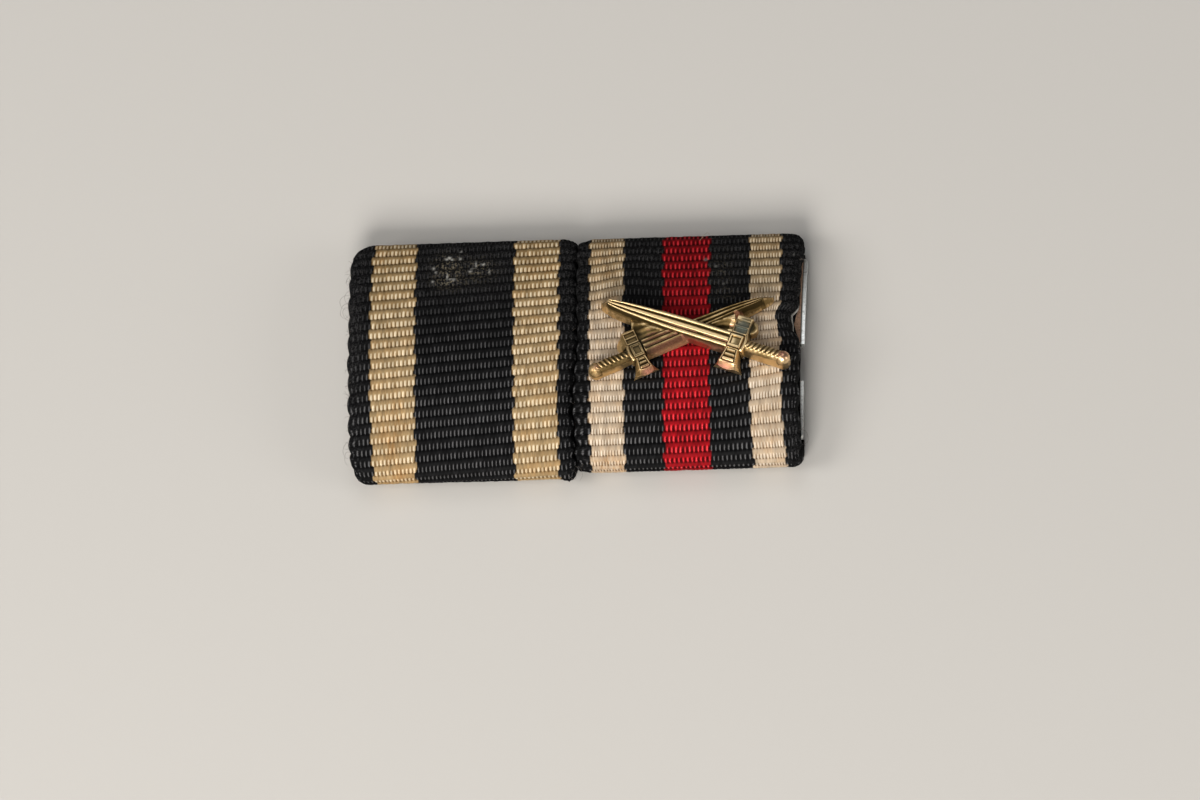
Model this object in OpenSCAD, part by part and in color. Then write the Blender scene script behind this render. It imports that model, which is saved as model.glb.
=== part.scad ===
// Two-place ribbon bar with crossed swords.
// X runs along the bar, Y up the bar and Z out of its front face.
// The origin is under the middle of the bar, on the plane that the folded edges rest on.

/* [Bar] */
// Radius of the front face, which is arched from the top edge to the bottom edge
arch_r = 22.4; // [18:0.1:40]
// Clearance between parts that lie on each other
gap = 0.06; // [0.04:0.01:0.1]

/* [Ribbons] */
// Width of the left ribbon
left_w = 15.0; // [12:0.1:24]
// Width of the right ribbon
right_w = 14.64; // [14:0.1:20]
// Height of the left ribbon up the bar
left_h = 17.1; // [16.8:0.1:20]
// Height of the right ribbon up the bar
right_h = 16.7; // [16.5:0.1:19]
// How much higher the right ribbon's middle sits than the left one's
right_rise = 0.15; // [0:0.01:0.2]
// Thickness of the cloth under its woven ribs
cloth_t = 1.0; // [0.8:0.01:1.2]
// Height of the woven ribs
rib_h = 0.14; // [0.05:0.01:0.2]
// Distance from one rib to the next
rib_pitch = 0.727; // [0.6:0.001:1.2]
// How far the left ribbon's ribs climb over its width
left_climb = 0.9; // [0:0.1:1.2]
// How far the right ribbon's ribs climb over its width
right_climb = 0.5; // [0:0.1:1.2]
// How far each rib stands out at a woven edge
scallop = 0.12; // [0:0.01:0.2]
// How far a cloth corner is rounded off
corner_trim = 1.3; // [0:0.05:1.4]
// How far a cloth edge curls down
edge_drop = 0.42; // [0:0.02:0.5]
// Depth of the dent in the right ribbon's outer edge
dent_depth = 0.75; // [0:0.05:1]
// Height of the dent up the bar
dent_h = 3.6; // [2:0.1:6]
// Height of the dent's middle above the middle of the bar
dent_y = 0.9; // [-3:0.1:3]

/* [Core strip] */
// Thickness of the strip inside the ribbons
core_t = 0.4; // [0.2:0.01:0.6]
// How far the strip stands out past the right ribbon
core_reach = 0.1; // [0:0.01:0.2]
// How far the left ribbon reaches past the strip
overhang = 0.75; // [0.5:0.05:1.5]

/* [Back plate] */
// Thickness of the plate
plate_t = 0.45; // [0.3:0.01:0.5]
// Height of the plate up the bar
plate_h = 13.1; // [11:0.1:13.3]
// How much higher the plate's middle sits than the left ribbon's
plate_rise = 0.35; // [0:0.05:0.4]
// How far the plate's right end stands out past the right ribbon, at its top
plate_reach = 0.36; // [0.1:0.01:0.8]
// Lean of the right ends of the plate and the strip, in degrees
plate_lean = 1.7; // [0:0.1:3]
// Radius of the plate's corners
plate_corner_r = 0.3; // [0.2:0.05:1]
// Height of the notch in the plate's right end
notch_h = 2.6; // [2.2:0.1:3]
// Length of the notch along the bar
notch_l = 2.4; // [1.6:0.1:3]
// How far the notch's middle lies under the plate's middle
notch_drop = 1.5; // [1:0.1:2]
// Thickness of the catch
catch_t = 0.4; // [0.3:0.01:0.45]
// Clearance beside the pin in the catch
catch_play = 0.25; // [0.1:0.01:0.35]

/* [Pin] */
// Diameter of the wire
pin_d = 0.7; // [0.5:0.01:0.75]
// Length from the middle of the foot to the point
pin_l = 26.0; // [24:0.1:27]
// Length of the tapered point
point_l = 3.0; // [1:0.1:5]
// Diameter of the flat point's end
point_d = 0.12; // [0.06:0.01:0.2]
// Clear height between the wire and the plate
pin_room = 0.5; // [0.4:0.01:0.55]
// Diameter of the foot
foot_d = 3.0; // [2:0.1:3.4]
// Thickness of the foot
foot_t = 0.35; // [0.2:0.01:0.45]
// Diameter of the boss between foot and wire
boss_d = 1.3; // [1:0.1:1.8]
// Distance from the plate's left end to the middle of the foot
foot_inset = 2.4; // [2:0.1:4]

/* [Swords] */
// Length of each sword
sword_l = 13.1; // [12.2:0.05:13.4]
// Angle between each sword and the line along the bar
sword_angle = 21.7; // [18:0.1:26]
// Turn of the whole device on the ribbon
device_turn = 1.2; // [0:0.1:4]
// Distance of the crossing from the right ribbon's left edge
device_x = 7.45; // [7:0.05:7.8]
// Height of the crossing above the middle of the bar
device_y = 0.3; // [-1:0.01:1]
// Length from a sword's point to the crossing
cross_l = 6.1; // [5.6:0.05:6.3]
// Length from the near sword's point to the middle of its guard
guard_at = 9.3; // [9:0.05:9.6]
// Length from the far sword's point to the middle of its guard
far_guard_at = 9.85; // [9:0.05:10]
// Width of a blade at its guard
blade_w = 1.16; // [0.9:0.02:1.3]
// Length of the near guard's straight arm, from the middle of the guard
arm_l = 1.8; // [1.2:0.05:2]
// Length of the near guard's flared arm, from the middle of the guard
flare_l = 1.85; // [1.2:0.05:2]
// Length of the far guard's straight arm, from the middle of the guard
far_arm_l = 1.5; // [1.2:0.05:2]
// Length of the far guard's flared arm, from the middle of the guard
far_flare_l = 1.65; // [1.2:0.05:2]
// Width of the near guard along the blade
guard_w = 0.96; // [0.7:0.02:1]
// Width of the far guard along the blade
far_guard_w = 0.76; // [0.7:0.02:1]
// How much wider a flared arm is at its end
flare_more = 0.34; // [0.2:0.02:0.5]
// How far a guard's shoulder stands out beside its straight arm
shoulder_l = 0.45; // [0.2:0.05:0.6]
// Width of a grip
grip_w = 0.8; // [0.6:0.02:0.9]
// Diameter of a pommel
pommel_d = 0.98; // [0.6:0.02:1.1]
// Distance from one turn of the grip's wire to the next
wire_pitch = 0.42; // [0.36:0.02:0.6]
// Height of the sword in front, over the cloth
near_top = 1.06; // [1:0.02:1.4]
// Height of the sword behind, over the cloth
far_top = 0.82; // [0.7:0.02:0.96]
// Depth of the grooves and panels
groove = 0.16; // [0.06:0.01:0.2]
// Width of the raised edges round the panels
frame_w = 0.15; // [0.1:0.01:0.2]
// Height of the sunken webs between the blades
web_top = 0.5; // [0.3:0.02:0.6]
// Width of each prong
prong_w = 0.9; // [0.6:0.05:1.2]
// Thickness of each prong
prong_t = 0.3; // [0.2:0.02:0.4]

/* [Hidden] */
$fn = 48;
arch_fn = 360;
DEG = 180 / PI;

// Layers of the bar, outside in, as radii of the arch
cloth_all = cloth_t + rib_h;
core_r = arch_r - cloth_all - gap;
plate_r = core_r - core_t - gap;
plate_in = plate_r - plate_t;

// The fold takes the cloth twice and the strip between
fold_r = (cloth_all + cloth_t + core_t) / 2 + gap;

// Fold centres of each ribbon, as [top, bottom] distances from the middle of the bar
LEFT_FOLDS = [left_h / 2 - fold_r, left_h / 2 - fold_r];
RIGHT_FOLDS = [right_h / 2 - fold_r + right_rise, right_h / 2 - fold_r - right_rise];
widest = max(concat(LEFT_FOLDS, RIGHT_FOLDS));
core_top = min(LEFT_FOLDS[0], RIGHT_FOLDS[0]) - gap;
core_low = min(LEFT_FOLDS[1], RIGHT_FOLDS[1]) - gap;

// The arch is tangent to the outermost fold, which rests at zero height
arch_z = fold_r - sqrt(pow(arch_r - fold_r, 2) - widest * widest);
face_top = arch_z + arch_r;
function arch_at(r, y) = arch_z + sqrt(r * r - y * y);

// Edges of the plate, and of the turned-in cloth that ends at them
plate_top = plate_rise + plate_h / 2;
plate_low = plate_rise - plate_h / 2;
FLAP_ENDS = [plate_top + gap, -plate_low + gap];

// Places along the bar
bar_l = left_w + gap + right_w + plate_reach;
left_x = -bar_l / 2;
right_x = left_x + left_w + gap;
core_x0 = left_x + overhang;
core_x1 = right_x + right_w + core_reach;
plate_x1 = bar_l / 2;

// Catch and pin
notch_low = plate_rise - notch_drop - notch_h / 2;
notch_x = plate_x1 - plate_h * tan(plate_lean) - notch_l;
// Sheet that the cut of the leaning end takes off
end_spare = 0.5;
// A rounded corner's circle is so much larger that it crosses the corner's sides, and doesn't only touch
corner_cross = 1.02;
pin_y = notch_low + catch_play + pin_d / 2;
pin_z = arch_at(plate_in, pin_y) - pin_room - pin_d / 2;
catch_low = pin_z - pin_d / 2 - gap - catch_t;
foot_x = core_x0 + foot_inset;
foot_top = arch_at(plate_in, abs(pin_y) + foot_d / 2) - gap;

// Ribs of a ribbon. They stop at this angle of the fold, where it turns under the bar.
points_per_rib = 4;
rib_end = 150;
// Rows with no rib at each end of a ribbon's section
flat_rows = 2;
function arch_a(fold) = asin(fold / (arch_r - fold_r));
function reach(fold) = (arch_r * arch_a(fold) + fold_r * (rib_end - arch_a(fold))) / DEG;
function ribs_to(fold) = floor(reach(fold) / rib_pitch);

// Sections of a ribbon, from its left edge to its right edge. The columns are: side (0 at the
// left edge, 1 at the right edge), in (share of overhang from that edge), trim (share of
// corner_trim), drop (share of edge_drop), climb (share of the ribs' climb), dent (share of
// dent_depth).
SIDE = 0;
IN = 1;
TRIM = 2;
DROP = 3;
CLIMB = 4;
DENT = 5;
LEFT_SECTIONS = [
    [0.0, 0.0, 1.00, 1.00, -0.50, 0],
    [0.0, 0.4, 0.62, 0.45, -0.49, 0],
    [0.0, 1.0, 0.30, 0.12, -0.47, 0],
    [0.0, 2.0, 0.04, 0.00, -0.42, 0],
    [0.5, 0.0, 0.00, 0.00, 0.00, 0],
    [1.0, -1.6, 0.00, 0.00, 0.42, 0],
    [1.0, -0.6, 0.08, 0.30, 0.47, 0],
    [1.0, 0.0, 0.28, 1.00, 0.50, 0],
];
RIGHT_SECTIONS = [
    [0.0, 0.0, 0.15, 0.20, -0.50, 0],
    [0.0, 0.6, 0.00, 0.00, -0.45, 0],
    [0.5, 0.0, 0.00, 0.00, -0.20, 0],
    [1.0, -2.2, 0.00, 0.00, 0.30, 0.0],
    [1.0, -1.2, 0.00, 0.00, 0.42, 0.4],
    [1.0, -0.5, 0.10, 0.30, 0.47, 0.9],
    [1.0, 0.0, 0.32, 0.80, 0.50, 1.0],
];

// Sections of a blade, from its point to its guard. The columns are: along (share of its length),
// wide (share of blade_w), sunk (share of groove), high (share of the sword's height).
BLADE_SECTIONS = [
    [0.000, 0.12, 0.00, 0.60],
    [0.014, 0.34, 0.00, 0.70],
    [0.050, 0.58, 0.10, 0.84],
    [0.110, 0.76, 0.60, 0.93],
    [0.200, 0.88, 1.00, 0.97],
    [0.400, 0.93, 1.00, 1.00],
    [1.000, 1.00, 1.00, 1.00],
];
// The blade's own section. The columns are: across (share of its width), sunk (share of groove).
BLADE_PROFILE = [
    [0.50, 0.30],
    [0.44, 0.00],
    [0.33, 0.10],
    [0.22, 1.00],
    [0.07, 0.10],
    [-0.07, 0.10],
    [-0.22, 1.00],
    [-0.33, 0.10],
    [-0.44, 0.00],
    [-0.50, 0.30],
];
// The struck side walls splay out by this share of the width down to the cloth
splay = 1.12;
// How far the device's metal starts under the arch that trims it to the cloth
under = 0.5;
grip_sides = 6;
steps_per_turn = 4;
// Width of a flared arm where it starts, as a share of the guard's
flare_root = 0.9;
// Places of the flared arm's two ridges, as shares of its length
RIDGES = [0.3, 0.6];
// Height of a guard's shoulder, as a share of the sword's
shoulder_high = 0.68;
// Places of the prongs and the webs' upper corners, as shares of the way to the guards
prong_at = 0.72;
web_rise = 0.75;

// A point of a ribbon's section, as [y, z], at distance s along the cloth from the middle of the
// face and at depth d under the crests. The lower half of a fold reaches down to the rest plane.
function cloth_point(s, d, fold) =
    let (
        side = s < 0 ? -1 : 1,
        face = arch_r * arch_a(fold) / DEG,
        turn = arch_a(fold) + (abs(s) - face) / fold_r * DEG,
        fold_z = arch_at(arch_r - fold_r, fold),
        deep = turn < 90 ? 1 : fold_z / fold_r
    )
    abs(s) <= face
        ? [(arch_r - d) * sin(s / arch_r * DEG), arch_z + (arch_r - d) * cos(s / arch_r * DEG)]
        : [
            side * (fold + (fold_r - d) * sin(turn)),
            fold_z + (fold_r - d) * deep * cos(turn)
        ];

// Y of a point after trim is taken off the fold, which is squeezed past the turned-in edge
function squeezed(y, trim, folds) =
    let (side = y < 0 ? 1 : 0, keep = FLAP_ENDS[side], deep = folds[side] + fold_r - keep)
    abs(y) <= keep ? y : sign(y) * (keep + (abs(y) - keep) * (1 - trim / deep));

// Rows of one skin of the cloth from under the top edge, round the face, to under the bottom
// edge. A row is [y, z, wave], and wave is 0 on a crest and 1 between two ribs.
function skin_rows(folds, climb, depth, wave_h, low, steps) =
    let (up = ribs_to(folds[0]), down = ribs_to(folds[1]))
    concat(
        [[FLAP_ENDS[0], low, 0], [folds[0], low, 0]],
        [
            for (i = [up * steps : -1 : -down * steps])
                let (
                    s = i / steps * rib_pitch + climb,
                    wave = steps > 1 ? (1 - cos(360 * i / steps)) / 2 : 0,
                    p = cloth_point(s, depth + wave_h * wave, folds[s < 0 ? 1 : 0])
                )
                [p[0], max(low, p[1]), wave]
        ],
        [[-folds[1], low, 0], [-FLAP_ENDS[1], low, 0]]
    );

// One ring of a ribbon: its outer skin, then its inner skin back again
function ribbon_ring(folds, w, climb, row, with_dent, trimmed_inside) =
    let (
        trim = row[TRIM] * corner_trim,
        drop = row[DROP] * edge_drop,
        slip = row[CLIMB] * climb,
        edge = row[SIDE] < 0.5 ? scallop : -scallop,
        at_edge = row[IN] == 0 && row[SIDE] != 0.5 ? 1 : 0,
        outer = skin_rows(folds, slip, 0, rib_h, 0, points_per_rib),
        inner = skin_rows(folds, slip, cloth_all, 0, cloth_t, 1),
        n = len(inner)
    )
    [
        for (layer = [0, 1], i = [0 : (layer == 0 ? len(outer) : n) - 1])
            let (
                p = layer == 0 ? outer[i] : inner[n - 1 - i],
                shaped = layer == 0 || trimmed_inside,
                sunk = shaped ? drop * pow(p[1] / face_top, 2) : 0,
                off = abs(p[0] - dent_y) * 2 / dent_h,
                dent = with_dent && p[1] > cloth_t && off < 1 ? (1 + cos(180 * off)) / 2 : 0
            )
            [
                row[SIDE] * w + row[IN] * overhang
                    + at_edge * edge * p[2] - dent * row[DENT] * dent_depth,
                squeezed(p[0], shaped ? trim : 0, folds),
                p[1] - sunk
            ]
    ];

// A ribbon's cloth as one closed solid
module ribbon(folds, w, climb, sections, with_dent) {
    rings = [
        for (row = sections)
            let (x = row[SIDE] * w + row[IN] * overhang)
            ribbon_ring(folds, w, climb, row, with_dent, !with_dent && x < overhang - gap)
    ];
    ribs = ribs_to(folds[0]) + ribs_to(folds[1]);
    n_in = ribs + 1 + 2 * flat_rows;
    n_out = ribs * points_per_rib + 1 + 2 * flat_rows;
    n = n_out + n_in;
    last = (len(rings) - 1) * n;
    // The inner row that lies under an outer row
    function under_row(j) =
        j < flat_rows ? j
        : j >= n_out - flat_rows ? n_in - (n_out - j)
        : flat_rows + floor((j - flat_rows) / points_per_rib + 0.5);
    function inner_at(j) = n - 1 - under_row(j);
    sides = [
        for (k = [0 : len(rings) - 2], j = [0 : n - 1])
            let (a = k * n + j, b = k * n + (j + 1) % n)
            each [[a, b, a + n], [b, b + n, a + n]]
    ];
    ends = [
        for (j = [0 : n_out - 2])
            each concat(
                [[j + 1, j, inner_at(j)], [last + j, last + j + 1, last + inner_at(j)]],
                under_row(j + 1) == under_row(j) ? [] : [
                    [j + 1, inner_at(j), inner_at(j + 1)],
                    [last + inner_at(j), last + j + 1, last + inner_at(j + 1)]
                ]
            )
    ];
    polyhedron([for (ring = rings) each ring], concat(sides, ends), convexity = 8);
}

module ribbon_left() {
    color([0.13, 0.13, 0.15])
        translate([left_x, 0, 0])
            ribbon(LEFT_FOLDS, left_w, left_climb, LEFT_SECTIONS, false);
}

module ribbon_right() {
    color([0.55, 0.05, 0.1])
        difference() {
            translate([right_x, 0, 0])
                ribbon(RIGHT_FOLDS, right_w, right_climb, RIGHT_SECTIONS, true);
            prongs(gap);
        }
}

// A sheet bent to the arch: its outer radius, thickness, lowest and highest Y, and X from x0 to x1
module arched_sheet(r, t, low, top, x0, x1) {
    translate([x0, 0, arch_z])
        rotate([90, 0, 90])
            linear_extrude(x1 - x0)
                intersection() {
                    difference() {
                        circle(r, $fn = arch_fn);
                        circle(r - t, $fn = arch_fn);
                    }
                    translate([low, r / 2])
                        square([top - low, r]);
                }
}

// Where a leaning right end that starts at x at the height of top is at a height of y
function leaning(x, top, y) = x - (top - y) * tan(plate_lean);

// What lies past such an end
module past_end(x, top) {
    high = top + plate_h;
    low = top - 2 * plate_h;
    translate([0, 0, -fold_r])
        linear_extrude(face_top + 2 * fold_r)
            polygon([
                [leaning(x, top, high), high],
                [leaning(x, top, low), low],
                [x + plate_h, low],
                [x + plate_h, high]
            ]);
}

module core_bar() {
    color([0.42, 0.25, 0.15])
        difference() {
            arched_sheet(core_r, core_t, -core_low, core_top, core_x0, core_x1 + end_spare);
            past_end(core_x1, core_top);
        }
}

// What a rounded corner leaves out of a square one. The corner points along +X and +Y.
module corner_waste(r) {
    translate([-r, -r, -fold_r])
        linear_extrude(face_top + 2 * fold_r)
            difference() {
                square(2 * r);
                circle(corner_cross * r);
            }
}

// The hook that the notch's tongue is bent into. It holds the pin and is open above.
module catch() {
    inside = pin_d + 2 * catch_play;
    hook_top = pin_z + gap;
    wall_top = arch_at(plate_in, abs(notch_low) + catch_t) + plate_t / 2;
    translate([notch_x, notch_low - catch_t, 0])
        rotate([90, 0, 90])
            linear_extrude(notch_l - plate_h * tan(plate_lean) / 2)
                union() {
                    translate([0, catch_low])
                        square([catch_t, wall_top - catch_low]);
                    translate([0, catch_low])
                        square([inside + 2 * catch_t, catch_t]);
                    translate([inside + catch_t, catch_low])
                        square([catch_t, hook_top - catch_low]);
                }
}

module back_plate() {
    color([0.72, 0.74, 0.73]) {
        difference() {
            arched_sheet(plate_r, plate_t, plate_low, plate_top, core_x0, plate_x1 + end_spare);
            // Leaning right end, with its two rounded corners
            past_end(plate_x1, plate_top);
            translate([plate_x1, plate_top, 0])
                rotate([0, 0, -plate_lean])
                    corner_waste(plate_corner_r);
            translate([leaning(plate_x1, plate_top, plate_low), plate_low, 0])
                rotate([0, 0, -plate_lean])
                    mirror([0, 1, 0])
                        corner_waste(plate_corner_r);
            // Notch
            translate([notch_x, notch_low, -fold_r])
                cube([2 * notch_l, notch_h, face_top + 2 * fold_r]);
        }
        catch();
    }
}

module pin() {
    color([0.6, 0.61, 0.62])
        translate([foot_x, pin_y, pin_z]) {
            rotate([0, 90, 0]) {
                cylinder(h = pin_l - point_l, d = pin_d);
                translate([0, 0, pin_l - point_l])
                    cylinder(h = point_l, d1 = pin_d, d2 = point_d);
            }
            cylinder(h = foot_top - foot_t / 2 - pin_z, d = boss_d);
            translate([0, 0, foot_top - foot_t - pin_z])
                cylinder(h = foot_t, d = foot_d);
        }
}

// Skin over rings with the same number of points. Both ends are fans from each ring's first point.
module loft(rings) {
    n = len(rings[0]);
    last = (len(rings) - 1) * n;
    sides = [
        for (k = [0 : len(rings) - 2], j = [0 : n - 1])
            let (a = k * n + j, b = k * n + (j + 1) % n)
            each [[a, a + n, b], [b, a + n, b + n]]
    ];
    ends = [
        for (j = [1 : n - 2])
            each [[0, j, j + 1], [last, last + j + 1, last + j]]
    ];
    polyhedron([for (ring = rings) each ring], concat(sides, ends), convexity = 4);
}

// The blade lies along X, from its point at x = 0 to its guard at x = at. Its top is at height top
// over the cloth.
module blade(top, at) {
    loft([
        for (row = BLADE_SECTIONS)
            let (w = row[1] * blade_w, z = row[3] * top, foot = w / 2 * splay)
            concat(
                [[row[0] * at, -foot, -under], [row[0] * at, foot, -under]],
                [for (p = BLADE_PROFILE) [row[0] * at, p[0] * w, z - p[1] * row[2] * groove]]
            )
    ]);
}

// The grip is wound with wire, so its skin waves along a helix. It ends in the pommel.
module grip(top, x0) {
    x1 = sword_l - pommel_d / 2;
    steps = ceil((x1 - x0) / wire_pitch * steps_per_turn);
    mid = top - grip_w / 2;
    loft([
        for (i = [0 : steps])
            let (x = x0 + (x1 - x0) * i / steps, foot = grip_w / 2 * splay)
            concat(
                [[x, -foot, -under], [x, foot, -under]],
                [
                    for (j = [0 : grip_sides])
                        let (
                            a = 180 * j / grip_sides,
                            r = grip_w / 2 - groove / 4 * (1 - cos(360 * i / steps_per_turn + a))
                        )
                        [x, r * cos(a), mid + r * sin(a)]
                ]
            )
    ]);
    translate([x1, 0, top - pommel_d / 2])
        sphere(d = pommel_d, $fn = 16);
    translate([x1, 0, -under])
        cylinder(h = under + top - pommel_d / 2, d = pommel_d, $fn = 16);
}

// A block whose width along X changes from w0 at y0 to w1 at y1, from z = low to z = top
module tapered_block(y0, y1, w0, w1, low, top) {
    sliver = 0.01;
    hull() {
        translate([-w0 / 2, y0 - sliver / 2, low])
            cube([w0, sliver, top - low]);
        translate([-w1 / 2, y1 - sliver / 2, low])
            cube([w1, sliver, top - low]);
    }
}

// The guard: a square middle, a straight arm with a sunken panel and a low shoulder beside it, and
// a flared arm with ridges. Its width is w, and its arms' lengths are arm and flare.
module guard(top, w, arm, flare) {
    half = blade_w / 2;
    panel = w - 2 * frame_w;
    end_w = w + flare_more;
    deep = top - groove;
    difference() {
        tapered_block(-half, arm, w, w * splay, -under, top);
        translate([-panel / 2, -half + frame_w, deep])
            cube([panel, blade_w - 2 * frame_w, top]);
        translate([-panel / 2, half + frame_w, deep])
            cube([panel, arm - half - 2 * frame_w, top]);
    }
    difference() {
        tapered_block(-flare, -half, end_w, w * flare_root, -under, top);
        tapered_block(-flare + 2 * frame_w, -half - frame_w,
            end_w - 2 * frame_w, w * flare_root - 2 * frame_w, deep, top + groove);
    }
    for (share = RIDGES)
        translate([-panel / 2, -half - (flare - half) * share - frame_w / 2, 0])
            cube([panel, frame_w, top - groove / 3]);
    translate([w / 2, (half + arm) / 2, -under])
        scale([shoulder_l, (arm - half) / 2, 1])
            cylinder(h = under + top * shoulder_high, r = 1, $fn = 16);
}

// A sword with its guard at x = at, of width w, with arms of lengths arm and flare
module sword(top, at, w, arm, flare) {
    translate([-cross_l, 0, 0]) {
        blade(top, at);
        grip(top, at + w / 2);
        translate([at, 0, 0])
            guard(top, w, arm, flare);
    }
}

// Sunken metal in the two narrow angles between the swords, out to the guards
module webs() {
    out = (guard_at - cross_l) * cos(sword_angle);
    up = (guard_at - cross_l) * sin(sword_angle);
    for (side = [-1, 1])
        translate([0, 0, -under])
            linear_extrude(under + web_top)
                polygon([
                    [0, 0],
                    [side * out, -up],
                    [side * out, up * web_rise],
                ]);
}

// Puts what it holds on the face of the right ribbon, over the crests of its ribs
module on_ribbon() {
    translate([right_x + device_x, device_y, face_top + gap])
        rotate([0, 0, device_turn])
            children();
}

// Two flat prongs that go through the cloth, made wider by the clearance room for their slots
module prongs(room) {
    along = (guard_at - cross_l) * prong_at;
    on_ribbon()
        for (side = [-1, 1])
            translate([
                side * along - prong_t / 2 - room,
                -prong_w / 2 - room,
                -cloth_all - gap - 2 * room
            ])
                cube([prong_t + 2 * room, prong_w + 2 * room, cloth_all + 2 * gap + 3 * room]);
}

module swords() {
    color([0.75, 0.62, 0.3]) {
        difference() {
            on_ribbon() {
                rotate([0, 0, -sword_angle])
                    sword(near_top, guard_at, guard_w, arm_l, flare_l);
                rotate([0, 0, sword_angle])
                    mirror([1, 0, 0])
                        sword(far_top, far_guard_at, far_guard_w, far_arm_l, far_flare_l);
                webs();
            }
            translate([right_x, 0, arch_z])
                rotate([0, 90, 0])
                    cylinder(h = right_w, r = arch_r + gap, $fn = arch_fn);
        }
        prongs(0);
    }
}

ribbon_left();
ribbon_right();
core_bar();
back_plate();
swords();
pin();
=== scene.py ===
"""Dresses the ribbon bar: woven cloth, struck swords, metal finishes, floor, light and camera.

Lengths are in millimetres until a mesh is made. X runs along the bar, Y up it and Z out of its face.
A ribbon's own places are x from its left edge, s along the cloth from the middle of the face
(up is positive) and depth under the crests of its ribs.
"""
import math
from collections import namedtuple

import bmesh
import bpy
import numpy as np
from mathutils import Matrix, Vector, noise


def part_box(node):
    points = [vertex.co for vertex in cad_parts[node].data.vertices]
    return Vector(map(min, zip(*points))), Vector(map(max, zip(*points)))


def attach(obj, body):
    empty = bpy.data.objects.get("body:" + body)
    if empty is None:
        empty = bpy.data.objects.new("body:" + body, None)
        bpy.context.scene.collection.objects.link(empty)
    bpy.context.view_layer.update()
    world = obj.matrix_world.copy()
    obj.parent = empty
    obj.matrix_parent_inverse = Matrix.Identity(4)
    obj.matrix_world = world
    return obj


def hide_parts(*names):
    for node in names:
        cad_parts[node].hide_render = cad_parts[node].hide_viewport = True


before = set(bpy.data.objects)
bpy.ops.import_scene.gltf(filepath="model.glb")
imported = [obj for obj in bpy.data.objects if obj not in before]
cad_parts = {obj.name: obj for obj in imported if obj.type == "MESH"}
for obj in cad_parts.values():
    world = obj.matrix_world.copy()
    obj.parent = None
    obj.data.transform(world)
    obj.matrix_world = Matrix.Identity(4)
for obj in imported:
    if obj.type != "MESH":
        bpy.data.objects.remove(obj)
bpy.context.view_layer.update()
MM = 0.001
IN_METRES = Matrix.Scale(MM, 4)
rng = np.random.default_rng(1914)


def box_mm(node):
    """A node's lowest and highest corners in millimetres."""
    low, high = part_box(node)
    return np.array(low) / MM, np.array(high) / MM


def add_object(name, data):
    """A new object in the scene."""
    made = bpy.data.objects.new(name, data)
    bpy.context.scene.collection.objects.link(made)
    return made


# Sizes that the solids share with this script
ARCH_R = 22.4
CLOTH_T = 1.0
RIB_H = 0.14
RIB_PITCH = 0.727
GAP = 0.06
CORE_T = 0.4
CLOTH_ALL = CLOTH_T + RIB_H
FOLD_R = (CLOTH_ALL + CLOTH_T + CORE_T) / 2 + GAP
PLATE_LOW, PLATE_HIGH = box_mm("back_plate")
LEFT_LOW, LEFT_HIGH = box_mm("ribbon_left")
RIGHT_LOW, RIGHT_HIGH = box_mm("ribbon_right")
FLAP_ENDS = (PLATE_HIGH[1] + GAP, GAP - PLATE_LOW[1])
WIDEST = LEFT_HIGH[1] - FOLD_R
ARCH_Z = FOLD_R - math.sqrt((ARCH_R - FOLD_R) ** 2 - WIDEST ** 2)
FACE_TOP = ARCH_Z + ARCH_R


# Camera: the photograph's right and up directions, and the millimetres that its frame spans
VIEW_RIGHT = Vector((0.9972, 0.0, -0.068))
VIEW_UP = Vector((0.0289, 0.906, 0.4221))
FRAME_WIDTH = 78.6
FRAME_RIGHT = 1.248
FRAME_UP = -2.157
LENS = 400.0
SENSOR = 36.0


# Lights. The columns are: name, direction from the bar, distance and size in metres, power in
# watts, colour.
LIGHTS = [
    ("light_left", (-0.72, -0.28, 0.66), 0.5, 0.24, 1.25, (1.0, 0.98, 0.95)),
    ("light_front", (-0.15, -0.80, 0.58), 0.5, 0.20, 2.70, (1.0, 0.97, 0.93)),
    ("light_top", (-0.05, 0.45, 0.90), 0.6, 0.34, 0.55, (0.96, 0.98, 1.0)),
    ("light_right", (0.88, -0.25, 0.40), 0.5, 0.22, 0.55, (1.0, 0.98, 0.95)),
]
STUDIO_COLOUR = (0.75, 0.77, 0.80, 1.0)
STUDIO_LIGHT = 0.14
# Half the floor's width, in metres
FLOOR_HALF = 0.7
FLOOR_COLOUR = (0.52, 0.50, 0.47, 1.0)
SQUARE = ((-1, -1), (1, -1), (1, 1), (-1, 1))


def make_camera():
    """A camera with the photograph's viewing angle and frame."""
    data = bpy.data.cameras.new("camera")
    data.lens = LENS
    data.sensor_width = SENSOR
    data.clip_start = 0.01
    data.clip_end = 10.0
    right = VIEW_RIGHT.normalized()
    back = right.cross(VIEW_UP).normalized()
    up = back.cross(right)
    distance = FRAME_WIDTH * LENS / SENSOR
    middle = right * FRAME_RIGHT + up * FRAME_UP
    middle += back * (FACE_TOP * back.z)
    place = (middle + back * distance) * MM
    camera = add_object("camera", data)
    camera.matrix_world = Matrix.Translation(place) @ Matrix((right, up, back)).transposed().to_4x4()
    bpy.context.scene.camera = camera


def make_lights():
    """Square soft lights that shine on the middle of the face, and a dim studio around them."""
    for name, direction, distance, size, power, colour in LIGHTS:
        data = bpy.data.lights.new(name, "AREA")
        data.shape = "SQUARE"
        data.size = size
        data.energy = power
        data.color = colour
        light = add_object(name, data)
        way = Vector(direction).normalized()
        light.location = Vector((0.0, 0.0, FACE_TOP * MM)) + way * distance
        light.rotation_euler = way.to_track_quat("Z", "Y").to_euler()
    world = bpy.data.worlds.new("studio")
    world.use_nodes = True
    background = world.node_tree.nodes["Background"].inputs
    background["Color"].default_value = STUDIO_COLOUR
    background["Strength"].default_value = STUDIO_LIGHT
    bpy.context.scene.world = world
    bpy.context.scene.view_settings.view_transform = "Standard"


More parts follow.
